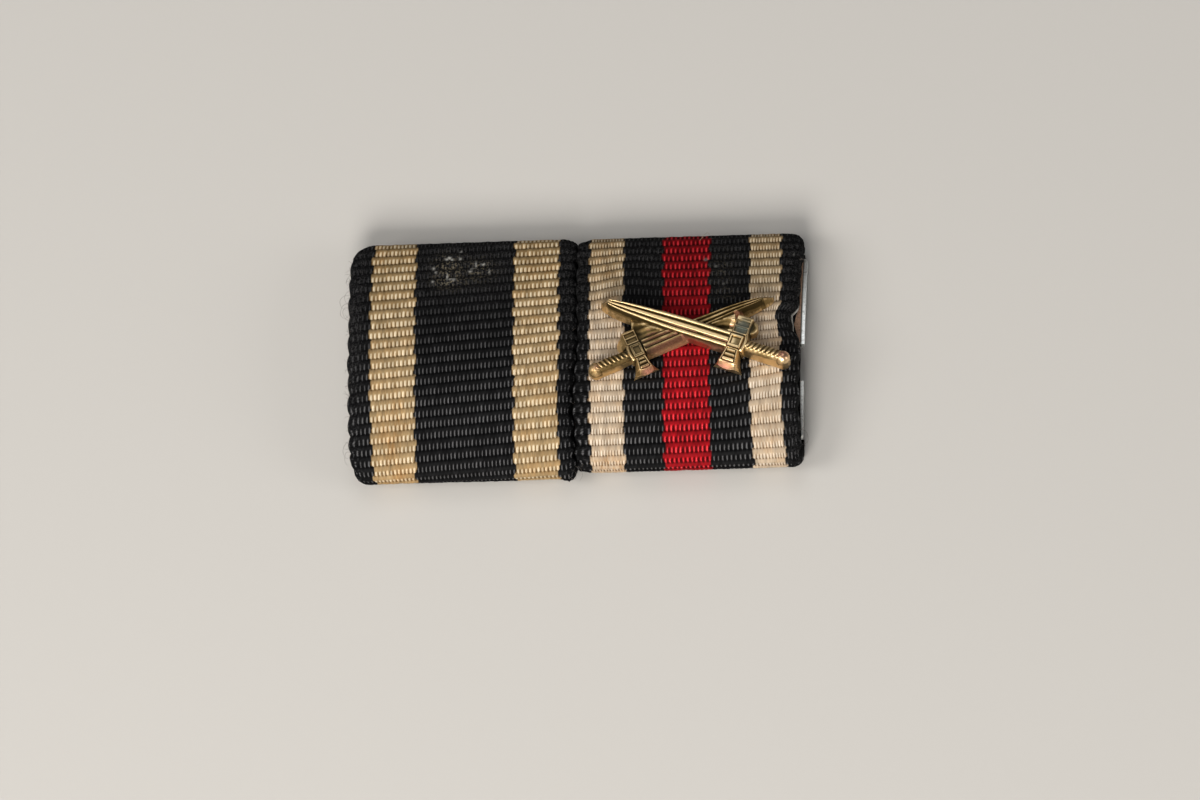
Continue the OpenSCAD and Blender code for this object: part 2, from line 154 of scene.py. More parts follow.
def make_floor():
    """A plain pale floor."""
    mesh = bpy.data.meshes.new("floor")
    mesh.from_pydata([(x * FLOOR_HALF, y * FLOOR_HALF, 0) for x, y in SQUARE], [], [(0, 1, 2, 3)])
    floor = add_object("floor", mesh)
    m = Shader("pale_floor")
    m.set(Base_Color=FLOOR_COLOUR, Roughness=0.85)
    mesh.materials.append(m.material)


class Shader:
    """One material, built node by node."""

    def __init__(self, name):
        self.material = bpy.data.materials.new(name)
        self.material.use_nodes = True
        self.tree = self.material.node_tree
        self.surface = self.tree.nodes["Principled BSDF"]
        self.place = self.add("ShaderNodeTexCoord").outputs["Object"]

    def add(self, kind, settings=None, **inputs):
        """A node with its settings, and its inputs set to values or linked to sockets."""
        node = self.tree.nodes.new(kind)
        for key, value in (settings or {}).items():
            setattr(node, key, value)
        for key, value in inputs.items():
            self.join(node.inputs[key.replace("_", " ")], value)
        return node

    def join(self, socket, value):
        """Sets a socket to a value, or links it to another socket."""
        if isinstance(value, bpy.types.NodeSocket):
            self.tree.links.new(value, socket)
        else:
            socket.default_value = value

    def noise(self, per_mm, detail, rough, stretch=(1, 1, 1)):
        """Noise with so many lumps to the millimetre, squeezed or stretched along each axis."""
        scale = [per_mm / MM * k for k in stretch]
        mapped = self.add("ShaderNodeMapping", Vector=self.place, Scale=scale)
        node = self.add("ShaderNodeTexNoise", Vector=mapped.outputs[0], Scale=1.0, Detail=detail,
                        Roughness=rough)
        return node.outputs["Fac"]

    def ramp(self, value, low, high, to_low=0.0, to_high=1.0):
        """Value from low to high turned smoothly into to_low to to_high."""
        node = self.add("ShaderNodeMapRange", {"interpolation_type": "SMOOTHSTEP"}, Value=value)
        for key, number in (("From Min", low), ("From Max", high), ("To Min", to_low), ("To Max", to_high)):
            node.inputs[key].default_value = number
        return node.outputs[0]

    def math(self, kind, *values):
        node = self.add("ShaderNodeMath", {"operation": kind})
        for socket, value in zip(node.inputs, values):
            self.join(socket, value)
        return node.outputs[0]

    def times(self, first, second):
        return self.math("MULTIPLY", first, second)

    def mix(self, factor, first, second, blend="MIX"):
        """A colour from first towards second, or towards their product where blend is MULTIPLY."""
        node = self.add("ShaderNodeMix", {"data_type": "RGBA", "blend_type": blend})
        for number, value in zip((0, 6, 7), (factor, first, second)):
            self.join(node.inputs[number], (*value, 1.0) if isinstance(value, tuple) else value)
        return node.outputs[2]

    def channels(self, attribute):
        """The red, green, blue and alpha of a point attribute."""
        node = self.add("ShaderNodeAttribute", {"attribute_name": attribute})
        parts = self.add("ShaderNodeSeparateColor", Color=node.outputs["Color"])
        return [*parts.outputs[:3], node.outputs["Alpha"]]

    def place_mm(self, axis):
        """The place along an axis, in millimetres."""
        axes = self.add("ShaderNodeSeparateXYZ", Vector=self.place)
        return self.times(axes.outputs[axis], 1 / MM)

    def bump(self, height, strength, distance_mm):
        node = self.add("ShaderNodeBump", Height=height, Strength=strength, Distance=distance_mm * MM)
        self.join(self.surface.inputs["Normal"], node.outputs[0])

    def set(self, **values):
        for key, value in values.items():
            self.join(self.surface.inputs[key.replace("_", " ")], value)


# Cloth colours as painted light and shade: in painted shade in the grooves, half shaded on the ribs' upper
# sides and lit on the crests, with a painted highlight on the red; and those of wear and dirt
BLACK_SHADE = (0.0008, 0.0008, 0.0010)
BLACK_LIT = (0.0880, 0.0870, 0.0890)
BLACK_WORN = (0.060, 0.058, 0.058)
CREAM_SHADE = (0.085, 0.046, 0.016)
CREAM_BAND = (0.282, 0.190, 0.087)
CREAM_LIT = (0.570, 0.472, 0.320)
SILKY_BAND = (0.415, 0.315, 0.190)
RED_SHADE = (0.040, 0.0004, 0.0010)
RED_LIT = (0.580, 0.0080, 0.0160)
RED_HIGHLIGHT = (0.720, 0.1300, 0.1400)
BLEACHED = (1.02, 1.05, 1.24)
AGED = (0.86, 0.66, 0.42)
STAIN = (0.92, 0.62, 0.30)
DUST = (0.33, 0.28, 0.19)
PALE_EDGE = (0.42, 0.41, 0.38)


def cloth_material(name, bleached, painted_top_shade):
    """Rayon rep. The yarn attribute has cream, red, tone and painted light, and marks has stain, dust, pale
    and worn. Bleached is how far the cream has whitened low down, and the painted top shade how dark the
    top is."""
    m = Shader(name)
    cream, red, tone, painted_light = m.channels("yarn")
    stain, dust, pale, worn = m.channels("marks")
    fibres = m.noise(16.0, 2.0, 0.6, (1.0, 0.09, 0.09))
    patches = m.noise(0.9, 4.0, 0.6)
    specks = m.noise(7.0, 2.0, 0.5)
    streaks = m.noise(4.5, 4.0, 0.65, (1.0, 0.30, 0.30))
    worn_out = m.ramp(m.noise(10.0, 3.0, 0.65), 0.44, 0.66, 0.0, 0.5)
    high = m.ramp(painted_light, 0.02, 1.0)
    up_bar = m.place_mm(1)
    # The yarns, from painted shade in the grooves to painted light on the crests, and darker higher up the
    # bar as painted shade
    black = m.mix(m.math("POWER", high, 4.2), BLACK_SHADE, BLACK_LIT)
    black = m.mix(m.ramp(up_bar, -5.5, 4.5, 0.0, 0.60), black, BLACK_SHADE)
    black = m.mix(m.times(worn, 0.6), black, BLACK_SHADE)
    black = m.mix(m.times(worn, worn_out), black, BLACK_WORN)
    washed = m.ramp(up_bar, 0.5, 6.0, bleached, bleached * 0.25)
    ivory = m.mix(m.ramp(painted_light, 0.04, 0.50), CREAM_SHADE, m.mix(washed, CREAM_BAND, SILKY_BAND))
    ivory = m.mix(m.ramp(painted_light, 0.52, 0.98), ivory, CREAM_LIT)
    ivory = m.mix(washed, ivory, BLEACHED, "MULTIPLY")
    crimson = m.mix(m.math("POWER", high, 1.6), RED_SHADE, RED_LIT)
    # A painted highlight on the red crests
    crimson = m.mix(m.ramp(painted_light, 0.84, 1.0, 0.0, 0.5), crimson, RED_HIGHLIGHT)
    crimson = m.mix(m.ramp(up_bar, -5.5, 6.0, 0.0, 0.30), crimson, RED_SHADE)
    base = m.mix(cream, m.mix(red, black, crimson), ivory)
    # Each float's tone, its strands, and painted shade that darkens the top
    shade = m.math("MULTIPLY_ADD", tone, 0.42, 0.79)
    strands = m.times(m.ramp(fibres, 0.3, 0.7, 0.84, 1.10), m.ramp(up_bar, -5.0, 7.5, 1.04, painted_top_shade))
    base = m.mix(1.0, base, m.times(shade, strands), "MULTIPLY")
    # Age, stains, dust and pale flecks
    base = m.mix(m.times(cream, m.ramp(patches, 0.42, 0.72, 0.0, 0.38)), base, AGED, "MULTIPLY")
    stained = m.times(m.times(stain, cream), m.ramp(streaks, 0.38, 0.68, 0.05, 1.0))
    base = m.mix(stained, base, STAIN, "MULTIPLY")
    base = m.mix(m.times(dust, m.ramp(specks, 0.50, 0.66, 0.0, 0.75)), base, DUST)
    base = m.mix(m.times(pale, m.ramp(specks, 0.35, 0.6, 0.5, 1.0)), base, PALE_EDGE)
    rough = m.math("ADD", m.ramp(fibres, 0.3, 0.7, 0.0, 0.10), m.ramp(painted_light, 0.50, 0.90, 0.70, 0.36))
    rough = m.math("MULTIPLY_ADD", worn, 0.25, rough)
    m.set(Base_Color=base, Roughness=rough, Specular_IOR_Level=0.08)
    m.bump(fibres, 0.35, 0.02)
    return m.material


# Weave

BLACK, CREAM, RED = 0, 1, 2
STEPS_PER_WARP = 2
# Rows of points from one rib's crest to the next, as shares: on the face close ones below the next
# crest, where the floats part. Out of sight there are fewer.
SEEN_ROWS = np.concatenate([[0.0, 0.12], np.linspace(0.24, 1, 11, endpoint=False)])
FOLD_ROWS = np.arange(6) / 6
UNDER_ROWS = np.arange(4) / 4
# How far round the folds the rows stay close, and then half close, in radians: top, bottom
SEEN_TURN = (1.25, 2.2)
FOLD_TURN = (2.3, 2.5)
# A float is a warp thread's stretch over a rib, as shares of a rib and of a warp. Floats lie side
# by side over the top of the rib, and part into round tips on its lower side.
FLOAT_UP = 0.50
FLOAT_DOWN = 0.74
FLOAT_HALF = 1.28
FLOAT_LEAN = 0.10
FALL_UP = 0.66
FALL_DOWN = 0.44
ROUND_TOP = 0.10
ROUND_TIP = 1.55
TIP_FROM = 0.52
RELIEF = 0.24
PROUD = 0.02
LOWEST = -0.15
WALL_STEPS = 5
# The woven edges: how far the weft's turns stand in and out, by chance too, and how rough they are
SCALLOP = 0.17
EDGE_OUT = 0.10
EDGE_CHANCE = 0.12
EDGE_ROUGH = 0.070
# Chances are drawn for so many ribs, and then come again
CHANCES = 41

# Stripes from the left edge. The columns are: colour, where it ends (share of the ribbon's width),
# and the distance between the floats on one rib.
LEFT_STRIPES = [
    (BLACK, 0.096, 0.300),
    (CREAM, 0.290, 0.262),
    (BLACK, 0.724, 0.257),
    (CREAM, 0.918, 0.262),
    (BLACK, 1.000, 0.300),
]
RIGHT_STRIPES = [
    (BLACK, 0.054, 0.290),
    (CREAM, 0.204, 0.193),
    (BLACK, 0.383, 0.283),
    (RED, 0.590, 0.290),
    (BLACK, 0.772, 0.283),
    (CREAM, 0.909, 0.193),
    (BLACK, 1.000, 0.290),
]
# Places where ribs bow. The columns are: x, half width, s, half height, rise.
LEFT_BOWS = [
    (3.0, 3.0, -2.0, 5.0, 0.16),
    (12.5, 2.0, -2.5, 4.0, 0.20),
]
RIGHT_BOWS = [
    (1.9, 0.9, 4.2, 2.8, 0.50),
    (4.6, 1.2, 4.2, 2.8, -0.36),
    (10.6, 1.6, -3.4, 2.9, 0.62),
    (13.0, 1.2, -3.0, 3.4, 0.26),
]
# Marks on the cloth. The columns are: x, s, half width, half height, strength.
LEFT_STAINS = [
    (3.2, -4.4, 0.5, 1.9, 0.62),
    (2.6, -6.8, 0.5, 1.6, 0.60),
    (1.9, 7.6, 0.6, 1.0, 0.7),
    (12.6, 6.0, 0.8, 1.4, 0.4),
    (3.2, -8.8, 1.2, 0.7, 0.6),
    (12.8, -8.4, 1.2, 0.8, 0.4),
]
LEFT_DUSTS = [
    (6.5, 6.2, 0.9, 1.0, 0.42),
    (8.6, 5.9, 0.9, 0.8, 0.38),
    (6.6, 4.9, 0.9, 0.5, 0.40),
]
LEFT_FLECKS = [
    (6.36, 6.90, 0.09, 0.08, 1.0),
    (6.55, 7.00, 0.09, 0.07, 1.0),
    (6.74, 6.84, 0.08, 0.08, 0.9),
    (7.26, 6.90, 0.08, 0.10, 0.8),
    (7.28, 7.55, 0.09, 0.08, 0.9),
    (5.50, 6.10, 0.10, 0.12, 0.5),
    (5.68, 5.75, 0.08, 0.10, 0.6),
    (6.43, 5.30, 0.05, 0.24, 0.8),
    (6.62, 5.12, 0.16, 0.06, 0.7),
    (6.88, 5.10, 0.10, 0.10, 0.9),
    (5.48, 4.95, 0.08, 0.10, 0.5),
    (8.78, 6.35, 0.14, 0.06, 0.7),
    (8.30, 6.30, 0.05, 0.22, 0.7),
    (8.06, 6.00, 0.10, 0.10, 0.5),
    (7.95, 5.75, 0.12, 0.08, 0.5),
    (9.20, 5.70, 0.05, 0.18, 0.4),
]
LEFT_WORN = [
    (7.5, 7.0, 7.5, 4.0, 0.8),
    (14.7, 5.0, 0.8, 5.5, 1.0),
    (0.3, 3.0, 0.8, 8.0, 1.0),
]
RIGHT_STAINS = [
    (1.9, -8.6, 1.4, 1.0, 0.8),
    (1.9, 7.0, 1.0, 2.2, 0.45),
    (12.6, -6.6, 0.9, 1.4, 0.35),
    (12.6, 7.4, 0.8, 1.2, 0.35),
]
RIGHT_DUSTS = [
    (9.4, 5.4, 0.9, 1.2, 0.10),
    (9.8, 3.2, 0.9, 0.7, 0.10),
]
RIGHT_FLECKS = [
    (8.40, 6.20, 0.10, 0.10, 0.7),
    (8.80, 8.20, 0.08, 0.08, 0.25),
    (9.10, 5.60, 0.08, 0.09, 0.3),
    (9.60, 4.10, 0.07, 0.10, 0.25),
    (14.10, 6.40, 0.08, 0.08, 0.2),
]
RIGHT_WORN = [
    (7.3, 7.0, 7.5, 3.6, 0.7),
    (14.3, 4.5, 0.9, 4.5, 1.0),
    (0.2, 5.0, 0.7, 5.0, 0.8),
    (14.4, -7.0, 0.9, 2.0, 0.8),
]
# Pale colour on the cut edges alone: painted light on the edges' walls
RIGHT_WALLS = [
    (14.64, 1.3, 0.80, 1.5, 1.6),
    (0.0, -4.5, 0.10, 4.0, 0.35),
]


def blobs(rows, x, s):
    """Sum of soft round marks, at most 1."""
    total = np.zeros_like(x)
    for x0, s0, half_x, half_s, strength in rows:
        total += strength * np.exp(-((x - x0) / half_x) ** 2 - ((s - s0) / half_s) ** 2)
    return np.minimum(total, 1.0)


def smooth(value):
    """Smooth step of a value held between 0 and 1."""
    value = np.clip(value, 0.0, 1.0)
    return value * value * (3 - 2 * value)


def circle(count):
    """So many angles evenly round a circle."""
    return np.linspace(0, 2 * math.pi, count, endpoint=False)


def seam_shift(s):
    """How far the seam between the ribbons wanders to the right."""
    wander = 0.07 * np.exp(-((s - 0.7) / 2.0) ** 2) - 0.28 * np.exp(-((s + 4.2) / 2.6) ** 2)
    return wander - 0.10 * np.exp(-((s + 8.5) / 2.0) ** 2)


class Ribbon:
    """One ribbon's sizes and the way it lies."""

    def __init__(self, low, high, stripes, climb, bows, edge_rounds):
        self.x0 = low[0]
        self.width = high[0] - low[0]
        self.folds = (high[1] - FOLD_R, -low[1] - FOLD_R)
        self.climb = climb
        self.bows = bows
        self.edge_rounds = edge_rounds
        borders = [0.0]
        self.colours = []
        start = 0.0
        for colour, share, pitch in stripes:
            end = share * self.width
            count = round((end - start) / (pitch / 2))
            borders += [start + (end - start) * (i + 1) / count for i in range(count)]
            self.colours += [colour] * count
            start = end
        self.borders = np.array(borders)
        self.colours = np.array(self.colours)
        self.chance = rng.random((len(self.colours), CHANCES, 4))
        self.warp_tone = rng.random(len(self.colours))
        self.edge_chance = rng.random((2, CHANCES)) - 0.5

    def length_to(self, side, turn):
        """Length of the cloth from the middle of the face to a turn in the fold, in radians."""
        start = math.asin(self.folds[side] / (ARCH_R - FOLD_R))
        return ARCH_R * start + FOLD_R * (turn - start)

    def half_length(self, side):
        """Length of the cloth from the middle of the face to its turned-in end."""
        return self.length_to(side, math.pi) + (self.folds[side] - FLAP_ENDS[side])

    def slip(self, x, s):
        """How far up the ribs are moved at a place."""
        share = x / self.width - 0.5
        total = self.climb * share * (1 - 0.4 * smooth((s - 2.0) / 6.0))
        for x0, half_x, s0, half_s, rise in self.bows:
            past = 0.5 + 0.5 * np.tanh((x - x0) / half_x)
            total = total + rise * past * np.exp(-((s - s0) / half_s) ** 2)
        return total

    def lay(self, x, s, depth):
        """Points of the cloth at x, s and depth, before the edges are shaped."""
        fold = np.where(s < 0, self.folds[1], self.folds[0])
        start = np.arcsin(fold / (ARCH_R - FOLD_R))
        face = ARCH_R * start
        turn = start + (np.abs(s) - face) / FOLD_R
        past = np.maximum(turn - math.pi, 0.0) * FOLD_R
        turn = np.minimum(turn, math.pi)
        fold_z = ARCH_Z + np.sqrt((ARCH_R - FOLD_R) ** 2 - fold ** 2)
        deep = np.where(turn < math.pi / 2, 1.0, fold_z / FOLD_R)
        on_face = np.abs(s) <= face
        y_fold = np.sign(s) * (fold + (FOLD_R - depth) * np.sin(turn) - past)
        z_fold = fold_z + (FOLD_R - depth) * deep * np.cos(turn)
        y = np.where(on_face, (ARCH_R - depth) * np.sin(s / ARCH_R), y_fold)
        z = np.where(on_face, ARCH_Z + (ARCH_R - depth) * np.cos(s / ARCH_R), z_fold)
        return np.stack([self.x0 + x, y, z], -1)

    def squeeze(self, points, trim):
        """Takes trim off the folds at a corner."""
        y = points[..., 1]
        keep = np.where(y < 0, FLAP_ENDS[1], FLAP_ENDS[0])
        deep = np.where(y < 0, self.folds[1], self.folds[0]) + FOLD_R - keep
        beyond = np.maximum(np.abs(y) - keep, 0.0)
        points[..., 1] = np.sign(y) * (np.minimum(np.abs(y), keep) + beyond * (1 - trim / deep))
        return points


def woven(u, v, ribbon):
    """Height of the woven face, 1 on a float's crest, with the float on top and the painted light and shade
    on it.
    """
    warps = len(ribbon.colours)
    best = np.full(u.shape, LOWEST)
    top_warp = np.clip(np.floor(u), 0, warps - 1).astype(int)
    top_rib = np.round(v).astype(int)
    light = np.zeros(u.shape)
    below = np.floor(v).astype(int)
    for rib in (below, below + 1):
        odd = rib % 2
        first = 2 * np.floor((u - 0.5 - odd) / 2).astype(int) + odd
        up = np.maximum(v - rib, 0.0) / FLOAT_UP
        down = np.maximum(rib - v, 0.0) / FLOAT_DOWN
        body = 1 - FALL_UP * up ** 2 - FALL_DOWN * down ** 2
        parted = smooth((down - 0.06) / 0.80)
        tip = np.sqrt(1 - np.clip((down - TIP_FROM) / (1 - TIP_FROM), 0.0, 1.0) ** 2)
        for warp in (first, first + 2):
            lift, wide, lean, drift = np.moveaxis(ribbon.chance[warp % warps, rib % CHANCES] - 0.5, -1, 0)
            half = FLOAT_HALF * np.maximum(tip, 0.05) * (1 + 0.22 * wide * parted)
            half = half * (1 - 0.26 * smooth((up - 0.2) / 0.8))
            away = u - 0.5 - warp - 0.16 * drift * parted - (FLOAT_LEAN + 0.2 * lean) * (v - rib)
            across = away / half
            arc = np.sqrt(np.maximum(0.0, 1 - across ** 2)) - 1
            height = body * (1 + 0.12 * lift) + (ROUND_TOP + (ROUND_TIP - ROUND_TOP) * parted) * arc
            there = (np.abs(across) < 1) & (up < 1) & (down < 1) & (warp >= 0) & (warp < warps)
            higher = there & (height > best)
            best = np.where(higher, height, best)
            top_warp = np.where(higher, warp, top_warp)
            top_rib = np.where(higher, rib, top_rib)
            # Painted light and shade: the lower side of a float is lit, its upper side shaded, and the gaps
            # beside it in painted shade
            is_cream = ribbon.colours[warp % warps] == CREAM
            middle = 1 - smooth((np.abs(away) - np.where(is_cream, 0.24, 0.10)) / 0.70)
            painted_lit_side = smooth((down - 0.02) / 0.36)
            under = smooth(up * 2.2 - 0.70) * (1 - smooth((np.abs(away) - 0.2) / 0.7))
            shade = (0.50 + 0.06 * lift) * (1 - 0.85 * under)
            light = np.where(higher, shade + painted_lit_side * ((1.06 + 0.25 * lift) * middle - 0.46), light)
    return best, top_warp, top_rib, np.clip(light, 0.0, 1.0)


def grid_faces(index):
    """Quads of a grid of point numbers."""
    quads = np.stack([index[:-1, :-1], index[1:, :-1], index[1:, 1:], index[:-1, 1:]], -1)
    return quads.reshape(-1, 4).tolist()


def zip_rows(fine, fine_at, coarse, coarse_at):
    """Triangles between two rows of points that run side by side, by their places along the seam."""
    fine = fine.tolist()
    coarse = coarse.tolist()
    faces = []
    i = 0
    j = 0
    while i < len(fine) - 1 or j < len(coarse) - 1:
        at_end = j == len(coarse) - 1
        if at_end or (i < len(fine) - 1 and fine_at[i + 1] <= coarse_at[j + 1]):
            faces.append((fine[i], fine[i + 1], coarse[j]))
            i += 1
        else:
            faces.append((fine[i], coarse[j + 1], coarse[j]))
            j += 1
    return faces


def closed_mesh(name, points, faces, matrix):
    """A mesh from points in millimetres, moved by the matrix, with its faces turned outwards."""
    mesh = bpy.data.meshes.new(name)
    mesh.from_pydata(np.asarray(points).tolist(), [], faces)
    mesh.transform(matrix)
    turned = bmesh.new()
    turned.from_mesh(mesh)
    bmesh.ops.triangulate(turned, faces=[f for f in turned.faces if len(f.verts) > 4])
    bmesh.ops.recalc_face_normals(turned, faces=turned.faces)
    turned.to_mesh(mesh)
    turned.free()
    return mesh


def make_piece(mesh):
    """A smooth piece of the one body, with the mesh's name."""
    mesh.shade_smooth()
    piece = add_object(mesh.name, mesh)
    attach(piece, "root")
    return piece


def point_colours(mesh, name, channels):
    """Writes four channels as a colour for each point. Points past their end get 0."""
    values = np.zeros((len(mesh.vertices), 4))
    for number, channel in enumerate(channels):
        values[:channel.size, number] = channel.ravel()
    mesh.attributes.new(name, "FLOAT_COLOR", "POINT").data.foreach_set("color", values.ravel())


def skin_rows(ribbon):
    """The rib coordinate of each row of points from the lower end of the cloth to its upper end."""
    ends = [ribbon.half_length(side) / RIB_PITCH for side in (0, 1)]
    seen, half_seen = ([ribbon.length_to(side, turns[side]) / RIB_PITCH for side in (0, 1)]
                       for turns in (SEEN_TURN, FOLD_TURN))
    rows = []
    for rib in range(-math.ceil(ends[1]), math.ceil(ends[0])):
        if -seen[1] <= rib < seen[0]:
            rows.append(rib + SEEN_ROWS)
        elif -half_seen[1] <= rib < half_seen[0]:
            rows.append(rib + FOLD_ROWS)
        else:
            rows.append(rib + UNDER_ROWS)
    rows = np.concatenate(rows)
    rows = rows[(rows > 0.1 - ends[1]) & (rows < ends[0] - 0.1)]
    return np.concatenate([[-ends[1]], rows, [ends[0]]])


Outer = namedtuple("Outer", "points x s rows down warp rib light")


def outer_face(ribbon, shape_edges):
    """The woven outer face and its edges' walls, with the float that is on top at each point."""
    warps = len(ribbon.colours)
    rows = skin_rows(ribbon)
    columns = np.arange(warps * STEPS_PER_WARP + 1) / STEPS_PER_WARP
    wall = np.linspace(1.0, 0.0, WALL_STEPS, endpoint=False)
    down = np.concatenate([wall, np.zeros(len(columns)), wall[::-1]])
    u = np.concatenate([np.zeros(WALL_STEPS), columns, np.full(WALL_STEPS, float(warps))])
    v, u = np.meshgrid(rows, u, indexing="ij")
    down = np.broadcast_to(down, u.shape)
    x = np.interp(u, np.arange(warps + 1), ribbon.borders)
    right_in = ribbon.width - x
    # The ends of the cloth are cut straight, so the ribs' slip fades out there
    flat_s = v * RIB_PITCH
    fade = smooth((ribbon.half_length(0) - flat_s) / 2.0) * smooth((flat_s + ribbon.half_length(1)) / 2.0)
    s = flat_s + ribbon.slip(x, flat_s) * fade
    height, warp, rib, light = woven(u, v, ribbon)
    depth = RELIEF * (1 - height) - PROUD
    # Worn fibres make the woven edges rough, and the painted light there is mottled at random
    rough = np.maximum(smooth(1.4 - x / 0.8), smooth(1.4 - right_in / 0.8))
    depth = depth + rough * EDGE_ROUGH * (rng.random(depth.shape) - 0.5)
    light = light * (1 + rough * (0.35 - 0.85 * rng.random(light.shape)))
    for edge_in, radius in zip((x, right_in), ribbon.edge_rounds):
        depth = depth + round_corner(edge_in, radius)
    depth = depth + down * (CLOTH_ALL - depth)
    # The weft turns back at the edge on every second rib
    turns = SCALLOP * (1 - np.abs(np.cos(math.pi / 2 * (v + 0.5))) ** 0.8)
    ribs = np.arange(CHANCES) - CHANCES // 2
    left, right = (turns + EDGE_CHANCE * np.interp(v, ribs, chance) for chance in ribbon.edge_chance)
    x_set = x + smooth(1 - x / 0.7) * (left - EDGE_OUT) - smooth(1 - right_in / 0.7) * right
    points = shape_edges(ribbon, ribbon.lay(x_set, s, depth), x, s, False)
    points[..., 2] = np.maximum(points[..., 2], 0.0)
    return Outer(points, x, s, rows, down, warp, rib, light)


def inner_face(ribbon, shape_edges):
    """The plain inner face with its flat turned-in ends, and the places of its rows and columns."""
    ends = [ribbon.half_length(side) for side in (0, 1)]
    ribs = [math.floor((ribbon.length_to(side, math.pi) - 0.6) / RIB_PITCH) for side in (0, 1)]
    middle = np.arange(-ribs[1], ribs[0] + 1) * RIB_PITCH
    s_rows = np.concatenate([[-ends[1], 0.3 - ends[1]], middle, [ends[0] - 0.3, ends[0]]])
    x_columns = np.concatenate([[0.0, 0.34, 0.68], np.linspace(1.4, ribbon.width, 14)])
    s, x = np.meshgrid(s_rows, x_columns, indexing="ij")
    points = ribbon.lay(x, s, np.full(x.shape, CLOTH_ALL))
    ends_y = (-FLAP_ENDS[1], -ribbon.folds[1], ribbon.folds[0], FLAP_ENDS[0])
    for row, y in zip((0, 1, -2, -1), ends_y):
        points[row, :, 1:] = (y, CLOTH_T)
    points[..., 2] = np.maximum(points[..., 2], CLOTH_T)
    return shape_edges(ribbon, points, x, s, True), s_rows, x_columns


def weave(node, ribbon, shape_edges, marks):
    """A ribbon as a closed skin: the woven outer face, rounded edges and a plain inner face."""
    outer = outer_face(ribbon, shape_edges)
    inner, inner_s, inner_x = inner_face(ribbon, shape_edges)
    count = outer.x.size
    outside = np.arange(count).reshape(outer.x.shape)
    inside = count + np.arange(inner[..., 0].size).reshape(inner.shape[:2])
    faces = grid_faces(outside) + grid_faces(inside)
    for end in (0, -1):
        faces += zip_rows(outside[:, end], outer.rows * RIB_PITCH, inside[:, end], inner_s)
    for end in (0, -1):
        faces += zip_rows(outside[end], outer.x[end], inside[end], inner_x)
    points = np.concatenate([outer.points.reshape(-1, 3), inner.reshape(-1, 3)])
    mesh = closed_mesh(node + "_woven", points, faces, IN_METRES)
    colour = ribbon.colours[outer.warp]
    tone = 0.55 * ribbon.chance[outer.warp, outer.rib % CHANCES, 0]
    tone += 0.45 * ribbon.warp_tone[outer.warp]
    # Painted light and shade for each point, darker still on the walls of the edges
    painted_light = outer.light * (1 - 0.5 * outer.down)
    point_colours(mesh, "yarn", [colour == CREAM, colour == RED, tone, painted_light])
    stain, dust, pale, worn, wall = (blobs(rows, outer.x, outer.s) for rows in marks)
    # The pale colour on the cut edges' walls is painted light
    pale = np.minimum(pale + wall * smooth(outer.down * 4.0 - 0.3), 1.0)
    point_colours(mesh, "marks", [stain, dust, pale, worn])
    piece = make_piece(mesh)
    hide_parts(node)
    upper, lower = (ribbon.half_length(side) for side in (0, 1))
    return piece


def corner(edge_in, reach, power):
    """1 at an edge of the cloth, falling to 0 at reach from it."""
    return np.clip(1 - edge_in / reach, 0.0, 1.0) ** power


def round_corner(edge_in, radius):
    """How much a round corner takes away at a distance from the edge."""
    short = np.clip(radius - edge_in, 0.0, radius)
    return radius - np.sqrt(radius ** 2 - short ** 2)


def drop_edges(points, drop):
    """Lowers the cloth by drop at the top of the face, and by less further down."""
    points[..., 2] -= drop * (points[..., 2] / FACE_TOP) ** 2
    return points


def swell(points, amount, ribbon):
    """Moves points away from the middle of the cloth's fold."""
    fold = np.where(points[..., 1] < 0, -ribbon.folds[1], ribbon.folds[0])
    way_y = points[..., 1] - fold
    way_z = points[..., 2] - FOLD_R
    far = np.sqrt(way_y ** 2 + way_z ** 2) + 0.01
    points[..., 1] += amount * way_y / far
    points[..., 2] += amount * way_z / far
    return points


# Knobs where the woven edge is bunched at a fold. The columns are as those of the marks.
LEFT_KNOB = (14.55, -9.5, 0.55, 0.55, 1.0)
RIGHT_KNOB = (14.1, -8.4, 0.6, 0.6, 1.0)
# Only this much of the left ribbon's inner face reaches past the strip
STRIP_INSET = 0.69
# The dent in the right edge
DENT_Y = 1.55
DENT_UP = 1.25
DENT_DOWN = 2.1
DENT_DEPTH = 0.70
DENT_REACH = 2.50


def shape_left(ribbon, points, x, s, inside):
    """The left ribbon's rounded corners and edges, its slanting left edge, and the seam's bends."""
    right_in = ribbon.width - x
    trim = np.where(s > 0, round_corner(x, 1.25), round_corner(x, 0.9)) + 0.30 * corner(right_in, 1.0, 1.6)
    drop = 0.42 * corner(x, 1.2, 2.5) + 0.36 * corner(right_in, 1.2, 2.5)
    pinch = np.where(s > 0, 0.26, 0.15) * np.abs(s / 8.4) ** 5 * smooth(1 - x / 4.5)
    shift = np.minimum(pinch, 0.34) + seam_shift(s) * smooth(1 - right_in / 2.0)
    if inside:
        past_strip = x < STRIP_INSET
        trim = np.where(past_strip, trim, 0.0)
        drop = np.where(past_strip, drop, 0.0)
    points = ribbon.squeeze(drop_edges(points, drop), trim)
    points[..., 0] += shift
    if inside:
        return points
    grain = 0.10 * np.sin(x * 19.0 + 1.0) * np.sin(s * 17.0)
    return swell(points, blobs([LEFT_KNOB], x, s) * (0.26 + grain), ribbon)


